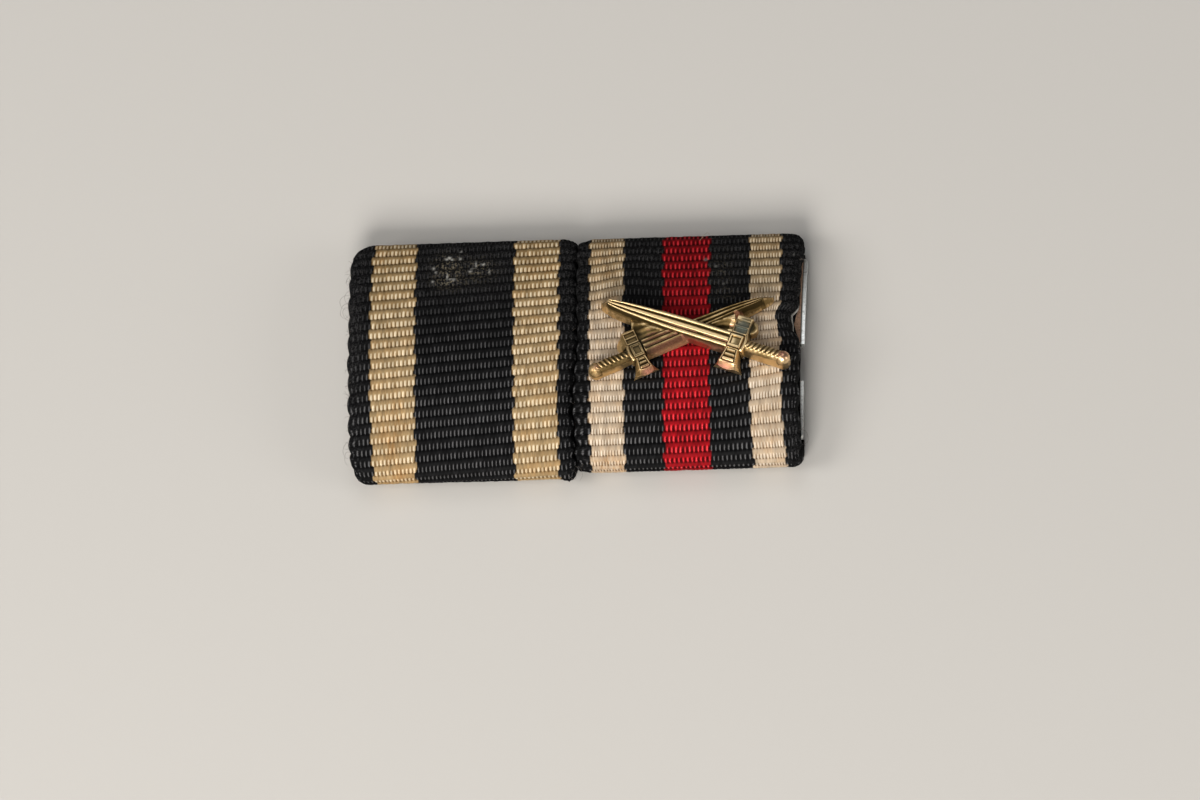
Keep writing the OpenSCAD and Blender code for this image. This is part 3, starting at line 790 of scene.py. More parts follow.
def shape_right(ribbon, points, x, s, inside):
    """The right ribbon's rounded corners and edges, the dent, and the bends of both its edges."""
    right_in = ribbon.width - x
    if not inside:
        trim = np.where(s > 0, 0.40, 0.20) * corner(x, 0.9, 1.1) + 0.42 * corner(right_in, 1.0, 2.0)
        drop = 0.08 * corner(x, 0.5, 2.0) + 0.34 * corner(right_in, 0.9, 2.0)
        points = ribbon.squeeze(drop_edges(points, drop), trim)
        points[..., 0] += 0.20 * smooth((s - 2.5) / 4.5) * smooth(1 - right_in / 1.5)
    above = points[..., 1] - DENT_Y
    off = np.clip(np.where(above > 0, above / DENT_UP, -above / DENT_DOWN), 0.0, 1.0)
    dent = 0.5 + 0.5 * np.cos(math.pi * off)
    share = 0.5 + 0.5 * np.cos(math.pi * np.clip(right_in / DENT_REACH, 0.0, 1.0))
    # The cut edge slopes out of the dent towards the strip
    sloped = 1 - 0.30 * smooth((FACE_TOP - 0.3 - points[..., 2]) / 0.9)
    on_top = smooth((points[..., 2] - CLOTH_T) / 0.6) * sloped
    points[..., 0] -= DENT_DEPTH * dent * share * on_top
    # Above the dent the cloth stops short of the strip
    short = 0.13 * smooth((points[..., 1] - DENT_Y) / 1.5) * smooth((7.4 - points[..., 1]) / 1.5)
    points[..., 0] -= short * smooth(1 - right_in / 0.8)
    # Low down its right edge stands further in
    low_in = 0.12 * smooth((1.0 - s) / 4.0) * smooth((s + 9.0) / 1.5)
    points[..., 0] -= low_in * smooth(1 - right_in / 1.2)
    points[..., 0] += seam_shift(s) * smooth(1 - x / 0.8)
    if inside:
        return points
    points[..., 0] += 0.30 * np.exp(-((x - 12.6) / 1.6) ** 2) * smooth((-s - 5.0) / 4.0)
    grain = 0.14 * np.sin(x * 17.0) * np.sin(s * 19.0 + 0.6)
    return swell(points, blobs([RIGHT_KNOB], x, s) * (0.40 + grain), ribbon)


def make_ribbons():
    """Both ribbons, with their cloth."""
    left = Ribbon(LEFT_LOW, LEFT_HIGH, LEFT_STRIPES, 0.95, LEFT_BOWS, (0.30, 0.42))
    right = Ribbon(RIGHT_LOW, RIGHT_HIGH, RIGHT_STRIPES, 0.25, RIGHT_BOWS, (0.12, 0.30))
    left_marks = (LEFT_STAINS, LEFT_DUSTS, LEFT_FLECKS, LEFT_WORN, [])
    right_marks = (RIGHT_STAINS, RIGHT_DUSTS, RIGHT_FLECKS, RIGHT_WORN, RIGHT_WALLS)
    pieces = [
        weave("ribbon_left", left, shape_left, left_marks),
        weave("ribbon_right", right, shape_right, right_marks),
    ]
    # How far each cream is bleached low down, and how dark the painted shade makes the top
    for piece, bleached, painted_top_shade in zip(pieces, (0.15, 1.0), (0.93, 0.80)):
        piece.data.materials.append(cloth_material(piece.name + "_rep", bleached, painted_top_shade))


# Loose fibres. The columns are: the fibre's places as x, y, z, one after the other.
FIBRE_HALF = 0.009
LEFT_FIBRES = [
    [(-14.9, 4.9, 2.6), (-15.2, 4.7, 2.7), (-15.4, 4.3, 2.8), (-15.3, 3.9, 2.7), (-15.0, 3.7, 2.6)],
    [(-14.9, 4.4, 2.7), (-15.4, 4.3, 2.9), (-15.7, 4.0, 2.8), (-15.6, 3.6, 2.6), (-15.3, 3.5, 2.4)],
    [(-14.9, 3.9, 2.8), (-15.5, 3.7, 2.7), (-15.7, 3.2, 2.4), (-15.4, 2.9, 2.4), (-15.1, 3.1, 2.6)],
    [(-14.9, 3.3, 2.8), (-15.3, 3.4, 3.0), (-15.5, 3.1, 2.9), (-15.3, 2.7, 2.7), (-15.0, 2.6, 2.7)],
    [(-14.9, 5.6, 2.5), (-15.2, 5.7, 2.6), (-15.3, 5.4, 2.7), (-15.2, 5.1, 2.7)],
    [(-14.9, -5.9, 2.4), (-15.3, -6.1, 2.2), (-15.5, -6.5, 1.9), (-15.3, -6.9, 1.7), (-15.1, -6.8, 1.6)],
    [(-14.9, -6.6, 2.0), (-15.3, -6.6, 1.9), (-15.4, -7.0, 1.5), (-15.2, -7.3, 1.3)],
    [(-0.5, -7.6, 1.7), (-0.3, -8.0, 1.9), (0.1, -8.2, 1.9), (0.2, -8.6, 1.6), (0.0, -8.8, 1.2)],
    [(-0.9, -8.0, 1.6), (-0.7, -8.6, 1.7), (-0.3, -8.8, 1.5), (-0.2, -8.5, 1.8), (-0.5, -8.3, 2.0)],
    [(-0.4, -7.2, 2.2), (0.1, -7.4, 2.3), (0.3, -7.8, 2.0), (0.1, -8.2, 1.8)],
]
RIGHT_FIBRES = [
    [(14.2, -5.4, 2.7), (14.7, -5.6, 2.9), (14.8, -6.0, 2.7), (14.5, -6.2, 2.6), (14.3, -5.9, 2.8)],
    [(14.3, -6.0, 2.4), (14.9, -6.2, 2.3), (15.0, -6.7, 1.9), (14.6, -6.9, 1.8), (14.3, -6.7, 2.1)],
    [(14.3, 5.9, 2.7), (14.8, 6.0, 2.9), (15.1, 5.8, 2.8)],
]
PALE_FIBRES = [
    [(8.1, 8.1, 2.2), (8.3, 8.3, 2.3), (8.5, 8.5, 2.2), (8.6, 8.4, 2.1), (8.5, 8.2, 2.3)],
    [(8.0, 7.7, 2.7), (8.2, 7.9, 2.7), (8.3, 8.1, 2.5)],
]


def smooth_path(places, steps=7):
    """Points on a smooth curve through the places."""
    places = np.array(places, float)
    ends = np.concatenate([[2 * places[0] - places[1]], places, [2 * places[-1] - places[-2]]])
    path = []
    for a, b, c, d in zip(ends, ends[1:], ends[2:], ends[3:]):
        for t in np.arange(steps) / steps:
            path.append(b + 0.5 * t * (c - a + t * (2 * a - 5 * b + 4 * c - d + t * (3 * (b - c) + d - a))))
    path.append(places[-1])
    return np.array(path)


def hair(path, half):
    """A thin closed tube with five sides along a path."""
    ways = np.gradient(path, axis=0)
    ways /= np.linalg.norm(ways, axis=1)[:, None]
    side = np.cross(ways, (0.3, 0.2, 0.93))
    side /= np.linalg.norm(side, axis=1)[:, None]
    other = np.cross(ways, side)
    sizes = half * (1 - 0.7 * np.linspace(0, 1, len(path)) ** 3)
    return loft([[p + r * (math.cos(a) * n + math.sin(a) * b) for a in circle(5)]
                 for p, n, b, r in zip(path, side, other, sizes)])


def fuzz(x, out, count, low, high):
    """Short curled fibres that stand out from a woven edge at x, towards out."""
    paths = []
    for _ in range(count):
        y = low + (high - low) * rng.random()
        z = ARCH_Z + math.sqrt(ARCH_R ** 2 - y ** 2) - 0.25 - 0.7 * rng.random()
        place = np.array([x - 0.15 * out, y, z])
        way = np.array([out * (0.5 + 0.6 * rng.random()), rng.random() - 0.5, 0.6 * rng.random()])
        curl = np.array([-0.12 * out, 0.0, -0.14])
        places = [place]
        for _ in range(4):
            place = place + 0.14 * way
            way = way + np.array([0.0, 1.2, -0.3]) * (rng.random(3) - 0.5) + curl
            places.append(place)
        paths.append(places)
    return paths


def fibre_material(name, colour):
    """A fine thread, darker in places."""
    m = Shader(name)
    along = m.noise(6.0, 2.0, 0.5)
    base = m.mix(m.ramp(along, 0.3, 0.7), colour, tuple(0.45 * c for c in colour))
    m.set(Base_Color=base, Roughness=m.ramp(along, 0.3, 0.7, 0.45, 0.65))
    return m.material


def make_fibres():
    """The loose fibres, with those of one colour on one ribbon in one piece."""
    black = fibre_material("black_fibre", (0.110, 0.090, 0.070))
    pale = fibre_material("pale_fibre", (0.55, 0.42, 0.25))
    left = LEFT_FIBRES + fuzz(LEFT_LOW[0], -1, 44, -7.0, 7.0)
    left += fuzz(LEFT_HIGH[0] - 0.2, 1, 8, -7.0, 2.0)
    right = RIGHT_FIBRES + fuzz(RIGHT_HIGH[0] - 0.1, 1, 10, -7.0, 6.5)
    groups = [
        ("ribbon_left", "_fibres", left, black),
        ("ribbon_right", "_fibres", right, black),
        ("ribbon_right", "_pale_fibres", PALE_FIBRES, pale),
    ]
    for ribbon, kind, paths, material in groups:
        points = []
        faces = []
        for places in paths:
            more, skin = hair(smooth_path(places), FIBRE_HALF)
            faces += [tuple(len(points) + i for i in face) for face in skin]
            points += more.tolist()
        piece = make_piece(closed_mesh(ribbon + kind, points, faces, IN_METRES))
        piece.data.materials.append(material)


# Swords. A sword's own places are along from its point and across from its middle line.
SWORD_ANGLE = math.radians(21.7)
DEVICE_TURN = math.radians(1.2)
DEVICE_X = 7.45
DEVICE_Y = 0.34
CROSS_L = 5.9
GRIP_W = 0.80
POMMEL_D = 0.96
WIRE_PITCH = 0.30
GROOVE = 0.16
WEB_TOP = 0.44
WEB_RISE = 0.26
UNDER = 0.5
PRONG_W = 0.9
PRONG_T = 0.3
PRONG_AT = 2.30
PRONG_TOP = 0.25
# How far out the web on each side reaches, and at which share of its width it starts to rise
WEBS = {-1: (3.85, 0.36), 1: (2.97, 0.56)}
# The struck metal's unevenness: how high it is, and how many lumps there are to the millimetre
UNEVEN = 0.010
LUMPS = 1.3
# A blade's half width grows with this power of the distance from its blunt point
BLADE_TAPER = 0.36
POINT_HALF = 0.012
# Half the width of a blade's outline at the cloth, as a share of the blade's, and how far from the
# point its upper wall gets there
OUTLINE = 0.53
HIGH_ROUND = 1.7

# A sword's sizes. tip_at, guard_at and end_at are places along it, widest is how far from the
# point the blade gets its full width, shift moves the blade across, tip_slope is how far the ridges
# stop short of the point, low_slope is how far the lower wall reaches past the outline, low_round
# is how far from the point it gets there, and end_bar is the width of the straight arm's last bar.
FIELDS = ("near tip_at guard_at end_at top blade_w widest shift tip_slope low_slope low_round "
          "guard_w flare_w arm flare end_bar")
Sword = namedtuple("Sword", FIELDS)
NEAR = Sword(True, -0.35, 9.08, 12.84, 1.06, 1.18, 5.0, 0.00, 0.42, 0.06, 2.3, 0.94, 1.28, 1.84, 1.85, 0.34)
FAR = Sword(False, 0.00, 9.66, 13.12, 0.82, 0.96, 7.5, 0.15, 0.75, 0.24, 3.4, 0.76, 1.06, 1.50, 1.64, 0.16)

# Section of a blade. The columns are: share of the half width, share of GROOVE that it is sunk.
BLADE_SECTION = [
    (0.00, 0.00),
    (0.12, 0.04),
    (0.20, 0.16),
    (0.27, 0.46),
    (0.33, 1.00),
    (0.46, 1.00),
    (0.54, 0.46),
    (0.62, 0.12),
    (0.71, 0.00),
    (0.83, 0.12),
    (0.93, 0.40),
    (1.00, 0.80),
]


def loft(rings):
    """Points and faces of a closed skin over rings with the same number of points."""
    rings = np.asarray(rings, float)
    count, size = rings.shape[:2]
    index = np.arange(count * size).reshape(count, size)
    faces = grid_faces(np.concatenate([index, index[:, :1]], 1))
    faces += [tuple(index[0].tolist()), tuple(index[-1].tolist())]
    return rings.reshape(-1, 3), faces


def section(at, half, shares, sunk, top, feet):
    """A ring across X: a top that is sunk at each share, and walls that reach out by feet at the cloth."""
    wall = np.array([1.0, 0.66, 0.33])
    edge_z = top - sunk[0]
    wall_z = edge_z - (UNDER + edge_z) * wall
    out = wall * (UNDER + edge_z) / edge_z
    low = [(at, -half - feet[0] * o, z) for o, z in zip(out, wall_z)]
    high = [(at, half * share, top - s) for share, s in zip(shares, sunk)]
    return low + high + [(at, half + feet[1] * o, z) for o, z in zip(out[::-1], wall_z[::-1])]


def blade_half(sword, along):
    """Half the width of a blade's top at a distance from its point."""
    opened = np.clip((along - sword.tip_slope) / sword.widest, 0.0, 1.0)
    return np.maximum(sword.blade_w / 2 * opened ** BLADE_TAPER, POINT_HALF)


def blade_sunk(share):
    """How far a blade is sunk at a share of its half width, as a share of GROOVE."""
    across, sunk = np.transpose(BLADE_SECTION)
    return np.interp(np.abs(share), across, sunk)


def blade(sword):
    """A grooved blade with a rounded point. Its walls reach further out than its top."""
    shares = np.linspace(-1, 1, 45)
    form = blade_sunk(shares) * GROOVE
    length = sword.guard_at - 0.5 - sword.tip_at
    rings = []
    for step in np.concatenate([np.linspace(0.01, 1.2, 30), np.linspace(1.28, length, 100)]):
        half = blade_half(sword, step)
        high, low = (OUTLINE * sword.blade_w * math.sqrt(1 - (1 - min(step / reach, 1.0)) ** 2)
                     for reach in (HIGH_ROUND, sword.low_round))
        low_foot = max(low + sword.low_slope * smooth(step / sword.low_round) - half, 0.05)
        high_foot = max(high - half, 0.03)
        top = sword.top * (0.36 + 0.64 * smooth(step / (sword.tip_slope + 0.2)))
        fade = smooth((step - sword.tip_slope + 0.05) / 0.5)
        ring = section(sword.tip_at + step, half, shares, form * fade, top, (low_foot, high_foot))
        across = sword.shift * smooth(step / 3.0)
        rings.append([(x, y + across, z) for x, y, z in ring])
    return loft(rings)


def soft_box(value, low, high, edge=0.035):
    """1 between low and high, falling to 0 over a soft edge."""
    return smooth((value - low) / edge + 0.5) * smooth((high - value) / edge + 0.5)


def guard(sword):
    """The guard, as rings along its own length, with sunken panels, bars and a curved lip."""
    rise = 0.05
    inner = 0.50
    arm = sword.arm
    flare = sword.flare
    shares = np.linspace(-1, 1, 49)
    panels_from = 0.62
    panels_end = arm - sword.end_bar
    panel = (panels_end - panels_from - 0.08) / 2
    root_w = sword.guard_w * 0.90
    ends = [np.linspace(-flare, -flare + 0.12, 6), np.linspace(arm - 0.09, arm, 5)]
    rings = []
    for y in np.concatenate([ends[0], np.linspace(-flare + 0.15, arm - 0.12, 136), ends[1]]):
        out = max(0.0, (-y - inner) / (flare - inner))
        # The straight arm is wider, towards the grip
        more = 0.07 * smooth((y - 0.48) / 0.10)
        half = ((root_w if out else sword.guard_w) + (sword.flare_w - root_w) * out ** 1.3) / 2 + more
        across = np.abs(shares) * half
        # Sunken panels: the middle one, two in the straight arm and a fan in the flared arm
        middle = soft_box(y, -0.28, 0.28) * soft_box(across, -1.0, half - 0.16)
        straight = soft_box(y, panels_from, panels_from + panel)
        straight = straight + soft_box(y, panels_end - panel, panels_end)
        straight = straight * soft_box(across, -1.0, half - 0.10)
        fan = soft_box(out, 0.09, 0.75) * soft_box(across, -1.0, half - 0.12)
        bars = sum(soft_box(out, at - 0.065, at + 0.065, 0.07) for at in (0.18, 0.42, 0.66))
        fan = fan * (1 - 1.15 * np.minimum(bars, 1.0) * soft_box(across, -1.0, half - 0.16))
        parting = soft_box(y, -0.56, -0.47) + soft_box(y, 0.44, 0.53)
        sunk = 0.10 * smooth((np.abs(shares) - 0.86) / 0.14)
        sunk = sunk + GROOVE * (middle + straight + fan + 0.8 * parting)
        # Both ends fall off
        sunk = sunk + 0.34 * max(0.0, 1 - (y + flare) / 0.30) ** 1.4
        sunk = sunk + 0.06 * max(0.0, 1 - (arm - y) / 0.12) ** 2
        # Behind the far guard's straight arm the wall slopes out
        slope = 0.0 if sword.near else 0.50 * math.sqrt(max(0.0, 1 - ((y - 0.85) / 0.60) ** 2))
        feet = (0.06 + 0.24 * out + slope, 0.05 + 0.24 * out)
        ring = np.array(section(y, half, shares, sunk, sword.top + rise, feet))
        # The flared arm's end is curved, and its rings lie along Y
        bulge = smooth((-y - flare + 0.6) / 0.6)
        along = -ring[:, 1]
        ring_y = ring[:, 0] - 0.17 * bulge * (1 - np.minimum(np.abs(along) / half, 1.3) ** 2)
        rings.append(np.stack([sword.guard_at + more + along, ring_y, ring[:, 2]], -1))
    return loft(rings)


def shoulder(sword):
    """A low round block beside the near guard's straight arm, on the grip's side."""
    half_x = 0.42
    half_y = 0.48
    bevel = 0.14
    x = sword.guard_at + sword.guard_w / 2 + 0.14
    y = 1.36
    crown = sword.top - 0.36
    levels = [(-UNDER, 1.04), (0.35, 1.0)]
    levels += [(crown - bevel + bevel * math.sin(t), math.cos(t) ** 0.35)
               for t in np.linspace(0, 1.45, 10)]
    return loft([[(x + half_x * share * math.cos(a), y + half_y * share * math.sin(a), z)
                  for a in circle(28)] for z, share in levels])


def collar(sword):
    """A raised bar between the guard and the grip."""
    middle = sword.guard_at + sword.guard_w / 2 + 0.07
    reach = 0.60
    half = 0.115
    foot = 0.14
    low = sword.top - 0.09
    rings = []
    for y in np.linspace(-reach, reach, 25):
        at = middle + 0.10 * (1 - (y / reach) ** 2)
        rise = 0.15 * math.sqrt(max(0.0, 1 - (y / reach / 1.02) ** 4))
        high = [(at + half * math.cos(a), y, low + rise * math.sin(a))
                for a in np.linspace(0, math.pi, 11)]
        rings.append([(at + foot, y, -UNDER), *high, (at - foot, y, -UNDER)])
    return loft(rings)


def grip(sword):
    """The grip, wound with wire that stands out as slanting beads, over a smooth lower wall."""
    start = sword.guard_at + sword.guard_w / 2 + 0.05
    end = sword.end_at - POMMEL_D / 2
    mid = sword.top - GRIP_W / 2
    low_foot = 0.10
    high_foot = 0.05
    rings = []
    for at in np.linspace(start, end, 110):
        share = (at - start) / (end - start)
        radius = GRIP_W / 2 * (0.94 + 0.10 * math.sin(math.pi * share) + 0.06 * share)
        ring = [(at, -radius - low_foot, -UNDER)]
        for a in np.linspace(math.pi, 0, 31):
            turn = 2 * math.pi * at / WIRE_PITCH + 2.8 * (a - math.pi / 2)
            wound = smooth((2.35 - a) / 0.4)
            bead = 0.05 * math.exp(-((a - 1.85) / 0.30) ** 2)
            ridge = (0.06 + bead) * (0.5 - 0.5 * math.cos(turn)) * math.sin(a) ** 0.5
            r = radius - ridge * wound - 0.03 * (1 - wound) + bead
            ring.append((at, r * math.cos(a), mid + r * math.sin(a)))
        ring.append((at, radius + high_foot, -UNDER))
        rings.append(ring)
    return loft(rings)


def pommel(sword):
    """A ball on a round foot."""
    radius = POMMEL_D / 2
    mid = sword.top - radius + 0.02
    levels = [(-UNDER, radius * 1.06), (mid - 0.45 * radius, radius * 0.98)]
    levels += [(mid + radius * math.sin(t), radius * math.cos(t))
               for t in np.linspace(-0.2, math.pi / 2 - 0.06, 16)]
    return loft([[(sword.end_at - radius + r * math.cos(a), r * math.sin(a), z) for a in circle(36)]
                 for z, r in levels])


def web(side):
    """Sunken metal in a narrow angle between the swords, that rises to the upper one."""
    reach, starts = WEBS[side]
    rings = []
    for x in np.linspace(0.3, reach, 40):
        low = -x * math.tan(SWORD_ANGLE)
        high = -0.75 * low
        # On the left the rise dies out towards the end
        lasts = 1.0 if side > 0 else 1 - smooth((x - 2.6) / 1.2)
        ring = [(side * x, low, -UNDER)]
        for share in np.linspace(0, 1, 30):
            risen = smooth((share - starts) / 0.34)
            wave = 0.020 * math.sin(30 * share + 2.0 * math.sin(2.2 * x))
            wave += 0.03 * risen * math.sin(5.0 * x)
            top = WEB_TOP + WEB_RISE * risen * lasts + wave
            ring.append((side * x, low + share * (high - low), top))
        ring.append((side * x, high, -UNDER))
        rings.append(ring)
    return loft(rings)


def block(x, y, half_x, half_y, levels):
    """An upright block between two levels."""
    return loft([[(x + i * half_x, y + j * half_y, z) for i, j in SQUARE] for z in levels])


def prong(side):
    """A flat prong that reaches into the cloth."""
    return block(side * PRONG_AT, 0.0, PRONG_T / 2, PRONG_W / 2, (-CLOTH_ALL - GAP, PRONG_TOP))


def device_matrix():
    """Where the swords cross."""
    place = Vector((RIGHT_LOW[0] + DEVICE_X, DEVICE_Y, FACE_TOP + GAP))
    return Matrix.Translation(place) @ Matrix.Rotation(DEVICE_TURN, 4, "Z")


def sword_matrix(near):
    """From a sword's own places to the bar's."""
    turn = Matrix.Rotation(-SWORD_ANGLE if near else SWORD_ANGLE, 4, "Z")
    flip = Matrix.Identity(4) if near else Matrix.Scale(-1, 4, (1, 0, 0))
    return device_matrix() @ turn @ flip @ Matrix.Translation((-CROSS_L, 0, 0))


def metal(points, faces, matrix):
    """A solid for the joining of the metal."""
    return add_object("metal", closed_mesh("metal", points, faces, matrix))


def join_solids(parts, cutter):
    """One mesh of all the parts together, less the cutter."""
    base = parts[0]
    for other in parts[1:] + [cutter]:
        modifier = base.modifiers.new("join", "BOOLEAN")
        modifier.operation = "DIFFERENCE" if other is cutter else "UNION"
        modifier.solver = "MANIFOLD"
        modifier.object = other
    bpy.context.view_layer.update()
    seen = base.evaluated_get(bpy.context.evaluated_depsgraph_get())
    mesh = bpy.data.meshes.new_from_object(seen)
    for used in parts + [cutter]:
        bpy.data.meshes.remove(used.data)
    return mesh


def read_rows(items, key):
    """What each item holds under a key, as rows of three numbers."""
    values = np.empty(len(items) * 3)
    items.foreach_get(key, values)
    return values.reshape(-1, 3)


def ridges(mesh, rounds=3):
    """How much each point stands out from its neighbours, from 0 in a groove to 1 on a ridge."""
    count = len(mesh.vertices)
    points = read_rows(mesh.vertices, "co")
    normals = read_rows(mesh.vertex_normals, "vector")
    edges = np.empty(len(mesh.edges) * 2, int)
    mesh.edges.foreach_get("vertices", edges)
    a, b = edges.reshape(-1, 2).T
    way = points[b] - points[a]
    length = np.linalg.norm(way, axis=1) + 1e-12
    total = np.zeros(count)
    number = np.zeros(count)
    for one, sign in ((a, 1), (b, -1)):
        lean = sign * np.einsum("ij,ij->i", way, normals[one]) / length
        np.add.at(total, one, -lean)
        np.add.at(number, one, 1)
    value = total / np.maximum(number, 1)
    for _ in range(rounds):
        around = np.zeros(count)
        np.add.at(around, a, value[b])
        np.add.at(around, b, value[a])
        value = 0.5 * value + 0.5 * around / np.maximum(number, 1)
    return np.clip(0.5 + 2.5 * value, 0.0, 1.0)


def make_swords():
    """The device in one piece: the swords and webs cut to the cloth's arch, and the prongs."""
    here = device_matrix()
    parts = [metal(*make(sword), sword_matrix(sword.near)) for sword in (NEAR, FAR)
             for make in (blade, grip, pommel, collar, guard)]
    parts.append(metal(*shoulder(NEAR), sword_matrix(True)))
    parts += [metal(*web(side), here) for side in WEBS]
    prongs = [metal(*prong(side), here) for side in WEBS]
    radius = ARCH_R + GAP
    arch = [[(x, radius * math.cos(a), ARCH_Z + radius * math.sin(a)) for a in circle(720)]
            for x in (RIGHT_LOW[0], RIGHT_HIGH[0])]
    struck = add_object("metal", join_solids(parts, metal(*loft(arch), Matrix.Identity(4))))
    # The last cut touches nothing: slivers of metal are cleared away in it
    far_away = metal(*block(0, 0, 0.1, 0.1, (50, 51)), Matrix.Identity(4))
    mesh = join_solids([struck] + prongs, far_away)
    mesh.name = "swords_struck"
    points = read_rows(mesh.vertices, "co")
    lumps = np.array([noise.noise(Vector(p) * LUMPS) for p in points]) * UNEVEN
    points += read_rows(mesh.vertex_normals, "vector") * lumps[:, None]
    mesh.vertices.foreach_set("co", points.ravel())
    mesh.transform(IN_METRES)
    piece = make_piece(mesh)
    mesh.set_sharp_from_angle(angle=math.radians(42))
    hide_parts("swords")
    mark_swords(mesh)
    mesh.materials.clear()
    mesh.materials.append(brass_material())
    mesh.polygons.foreach_set("material_index", np.zeros(len(mesh.polygons), int))


# Spots of wear. The columns are: on the near sword or the far one, along, across, radius, strength.
COPPER_SPOTS = [
    (True, 12.40, 0.10, 0.32, 1.4),
    (False, 12.62, 0.0, 0.20, 0.6),
    (False, 9.50, -1.80, 0.44, 1.0),
    (True, 9.08, -1.95, 0.44, 0.8),
]
PATINA_SPOTS = [
    (True, 9.15, 0.85, 0.42, 1.0),
    (True, 9.15, 1.25, 0.42, 1.0),
    (True, 9.08, 0.0, 0.24, 0.25),
    (False, 9.66, 0.2, 1.0, 0.25),
]
# Places that have not been rubbed bright
DULL_SPOTS = [
    (True, 9.70, 1.15, 0.50, 0.22),
    (True, 9.08, -1.95, 0.45, 0.16),
    (True, 10.4, 0.35, 0.40, 0.14),
    (True, 11.2, 0.35, 0.50, 0.14),
    (True, 12.0, 0.35, 0.40, 0.14),
    (False, 10.4, 0.30, 0.60, 0.14),
    (False, 11.4, 0.30, 0.60, 0.14),
    (False, 9.66, -1.80, 0.45, 0.16),
    (False, 0.30, -0.20, 0.90, 0.16),
    (False, 8.50, 1.05, 0.90, 0.11),
    (False, 3.70, -0.70, 0.80, 0.05),
]


def blade_top(points, sword):
    """How far each point of a blade's top is sunk, and whether it lies there."""
    along = points[:, 0] - sword.tip_at
    half = blade_half(sword, along)
    across = np.abs(points[:, 1] - sword.shift * smooth(along / 3.0))
    there = (across < half * 1.02) & (along > sword.tip_slope) & (points[:, 0] < sword.guard_at - 0.5)
    return blade_sunk(across / half), there * smooth((points[:, 2] - sword.top + 0.28) / 0.08)


def mark_swords(mesh):
    """Writes the wear attribute: ridge, copper, patina, and which points lie on the sword behind, for its
    painted shade.
    """
    points = read_rows(mesh.vertices, "co") / MM
    local = {}
    for near in (True, False):
        back = np.array(sword_matrix(near).inverted())
        local[near] = points @ back[:3, :3].T + back[:3, 3]
    along, across, height = local[True].T
    on_blade = (np.abs(across) < NEAR.blade_w / 2 + 0.12) & (along < NEAR.guard_at)
    hilt = (along > NEAR.guard_at - 0.85) & (along < NEAR.end_at + 0.2) & (np.abs(across) < 2.2)
    near_here = on_blade | hilt
    copper, patina, dull = np.zeros((3, len(points)))
    for spots, values in ((COPPER_SPOTS, copper), (PATINA_SPOTS, patina), (DULL_SPOTS, dull)):
        for near, spot_along, spot_across, radius, strength in spots:
            way = local[near][:, :2] - (spot_along, spot_across)
            values += strength * np.exp(-(way ** 2).sum(1) / radius ** 2) * (near_here == near)
    ridge = np.clip(ridges(mesh) - dull, 0.0, 1.0)
    # The blades' bands are bright; the far blade's less so, as painted shade
    for sword, bright in ((NEAR, 0.84), (FAR, 0.64)):
        sunk, on_top = blade_top(local[sword.near], sword)
        on_top = on_top * (near_here == sword.near)
        ridge = ridge * (1 - on_top) + np.clip(bright - sunk, 0.0, 1.0) * on_top
    # Copper colour low on the front walls: a painted reflection of the red cloth, with the walls a little
    # darker
    front_wall = (read_rows(mesh.vertex_normals, "vector")[:, 1] < -0.5) & (height < NEAR.top - 0.14)
    copper += 0.75 * front_wall * near_here * soft_box(along, 4.5, NEAR.guard_at, 1.0)
    copper += 0.35 * front_wall * ~near_here * soft_box(local[False][:, 0], 6.0, 9.0, 1.0)
    ridge = ridge - 0.07 * front_wall
    point_colours(mesh, "wear", [ridge, np.minimum(copper, 1.0), np.minimum(patina, 1.0), ~near_here])


GOLD = (0.84, 0.62, 0.33)
OLIVE = (0.250, 0.170, 0.070)
DARK_BRASS = (0.055, 0.038, 0.014)
SHADED = (0.78, 0.72, 0.60)
COPPER = (0.62, 0.29, 0.20)
PATINA = (0.12, 0.14, 0.12)
RUST = ((0.24, 0.145, 0.100), (0.37, 0.225, 0.140))
RUST_SPOT = (0.09, 0.05, 0.03)
SHEET = ((0.040, 0.046, 0.040), (0.066, 0.074, 0.062))
SHEET_SCRATCH = (0.11, 0.12, 0.11)
SHEET_SPOT = (0.030, 0.028, 0.022)
# The sheared edge's colours, bright partly as a painted highlight
SHEET_EDGE = ((0.86, 0.88, 0.85), (0.55, 0.55, 0.52))
STEEL = ((0.40, 0.40, 0.41), (0.60, 0.60, 0.60))
STEEL_SPOT = (0.14, 0.09, 0.06)
PLATE_LEAN = math.tan(math.radians(1.7))
PLATE_EDGE_W = 0.19


def brass_material():
    """Struck brass: polished ridges, olive tarnish and painted shade in the grooves, copper wear, dark
    patina and painted shade on the sword behind.
    """
    m = Shader("struck_brass")
    ridge, copper, patina, far = m.channels("wear")
    cloud = m.noise(1.3, 4.0, 0.55)
    grain = m.noise(11.0, 3.0, 0.6)
    rub = m.math("ADD", ridge, m.ramp(cloud, 0.3, 0.7, -0.07, 0.07))
    # The sword behind is less bright, as painted shade
    rub = m.math("SUBTRACT", rub, m.times(far, 0.09))
    polish = m.ramp(rub, 0.44, 0.60)
    base = m.mix(polish, OLIVE, GOLD)
    # Darkest in the grooves: tarnish, and painted shade
    base = m.mix(m.ramp(rub, 0.22, 0.42, 0.92, 0.0), base, DARK_BRASS)
    # Painted shade on the sword behind
    base = m.mix(m.times(far, 0.45), base, SHADED, "MULTIPLY")
    base = m.mix(m.times(copper, m.ramp(grain, 0.35, 0.6, 0.45, 1.0)), base, COPPER)
    base = m.mix(m.times(patina, 0.85), base, PATINA)
    rough = m.math("ADD", m.ramp(polish, 0.0, 1.0, 0.56, 0.33), m.ramp(grain, 0.3, 0.7, -0.02, 0.08))
    rough = m.math("MULTIPLY_ADD", far, 0.08, rough)
    m.set(Base_Color=base, Roughness=rough, Metallic=1.0)
    m.bump(grain, 0.10, 0.008)
    return m.material


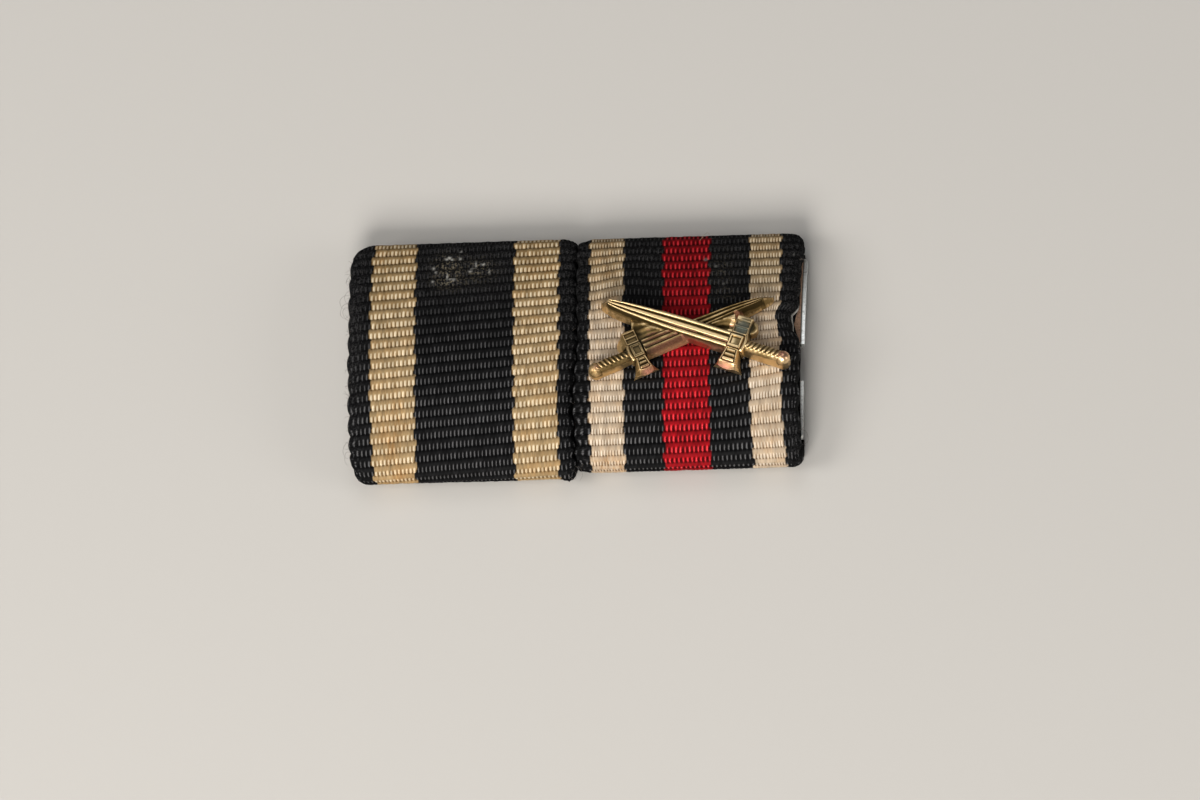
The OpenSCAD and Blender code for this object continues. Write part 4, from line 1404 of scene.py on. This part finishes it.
def strip_material():
    """Rusty brown strip with lighter and darker patches."""
    m = Shader("rusty_iron")
    cloud = m.noise(1.1, 5.0, 0.65)
    grain = m.noise(9.0, 4.0, 0.6)
    base = m.mix(m.ramp(cloud, 0.35, 0.65), *RUST)
    base = m.mix(m.ramp(grain, 0.48, 0.70, 0.0, 0.6), base, RUST_SPOT)
    m.set(Base_Color=base, Roughness=m.ramp(grain, 0.3, 0.7, 0.62, 0.88), Metallic=0.25)
    m.bump(grain, 0.5, 0.02)
    return m.material


def plate_material():
    """Dull white metal with long scratches, grey spots and a bright sheared edge, brightened further as a
    painted highlight.
    """
    m = Shader("plate_sheet")
    streaks = m.noise(3.0, 3.0, 0.6, (0.05, 1.0, 0.3))
    cloud = m.noise(0.7, 5.0, 0.6)
    spots = m.noise(5.0, 3.0, 0.55)
    # The right edge leans, and it is bright over so much of its width: a sheared edge with a painted
    # highlight
    edge_x = m.math("MULTIPLY_ADD", m.place_mm(1), PLATE_LEAN, PLATE_HIGH[0] - PLATE_HIGH[1] * PLATE_LEAN)
    away = m.math("SUBTRACT", edge_x, m.place_mm(0))
    edge = m.ramp(away, PLATE_EDGE_W * 0.7, PLATE_EDGE_W * 1.3, 1.0, 0.0)
    base = m.mix(m.ramp(cloud, 0.3, 0.7), *SHEET)
    base = m.mix(m.ramp(streaks, 0.42, 0.62, 0.0, 0.4), base, SHEET_SCRATCH)
    base = m.mix(m.ramp(spots, 0.58, 0.72, 0.0, 0.35), base, SHEET_SPOT)
    base = m.mix(edge, base, m.mix(m.ramp(spots, 0.5, 0.7), *SHEET_EDGE))
    rough = m.math("MULTIPLY_ADD", edge, -0.10, m.ramp(streaks, 0.3, 0.7, 0.50, 0.38))
    m.set(Base_Color=base, Roughness=rough, Metallic=0.75)
    m.bump(streaks, 0.3, 0.01)
    return m.material


def pin_material():
    """Drawn steel wire with fine lines along it and a few dark spots."""
    m = Shader("drawn_steel")
    lines = m.noise(12.0, 3.0, 0.6, (0.02, 1.0, 1.0))
    spots = m.noise(2.4, 4.0, 0.6)
    base = m.mix(m.ramp(lines, 0.3, 0.7), *STEEL)
    base = m.mix(m.ramp(spots, 0.58, 0.70, 0.0, 0.7), base, STEEL_SPOT)
    m.set(Base_Color=base, Roughness=m.ramp(lines, 0.3, 0.7, 0.26, 0.40), Metallic=1.0)
    m.bump(lines, 0.25, 0.01)
    return m.material


def finish_metal():
    """Gives the metal behind the cloth its materials."""
    made = {"core_bar": strip_material(), "back_plate": plate_material(), "pin": pin_material()}
    for node, material in made.items():
        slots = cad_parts[node].data.materials
        slots.clear()
        slots.append(material)


make_camera()
make_lights()
make_floor()
make_ribbons()
make_swords()
make_fibres()
finish_metal()
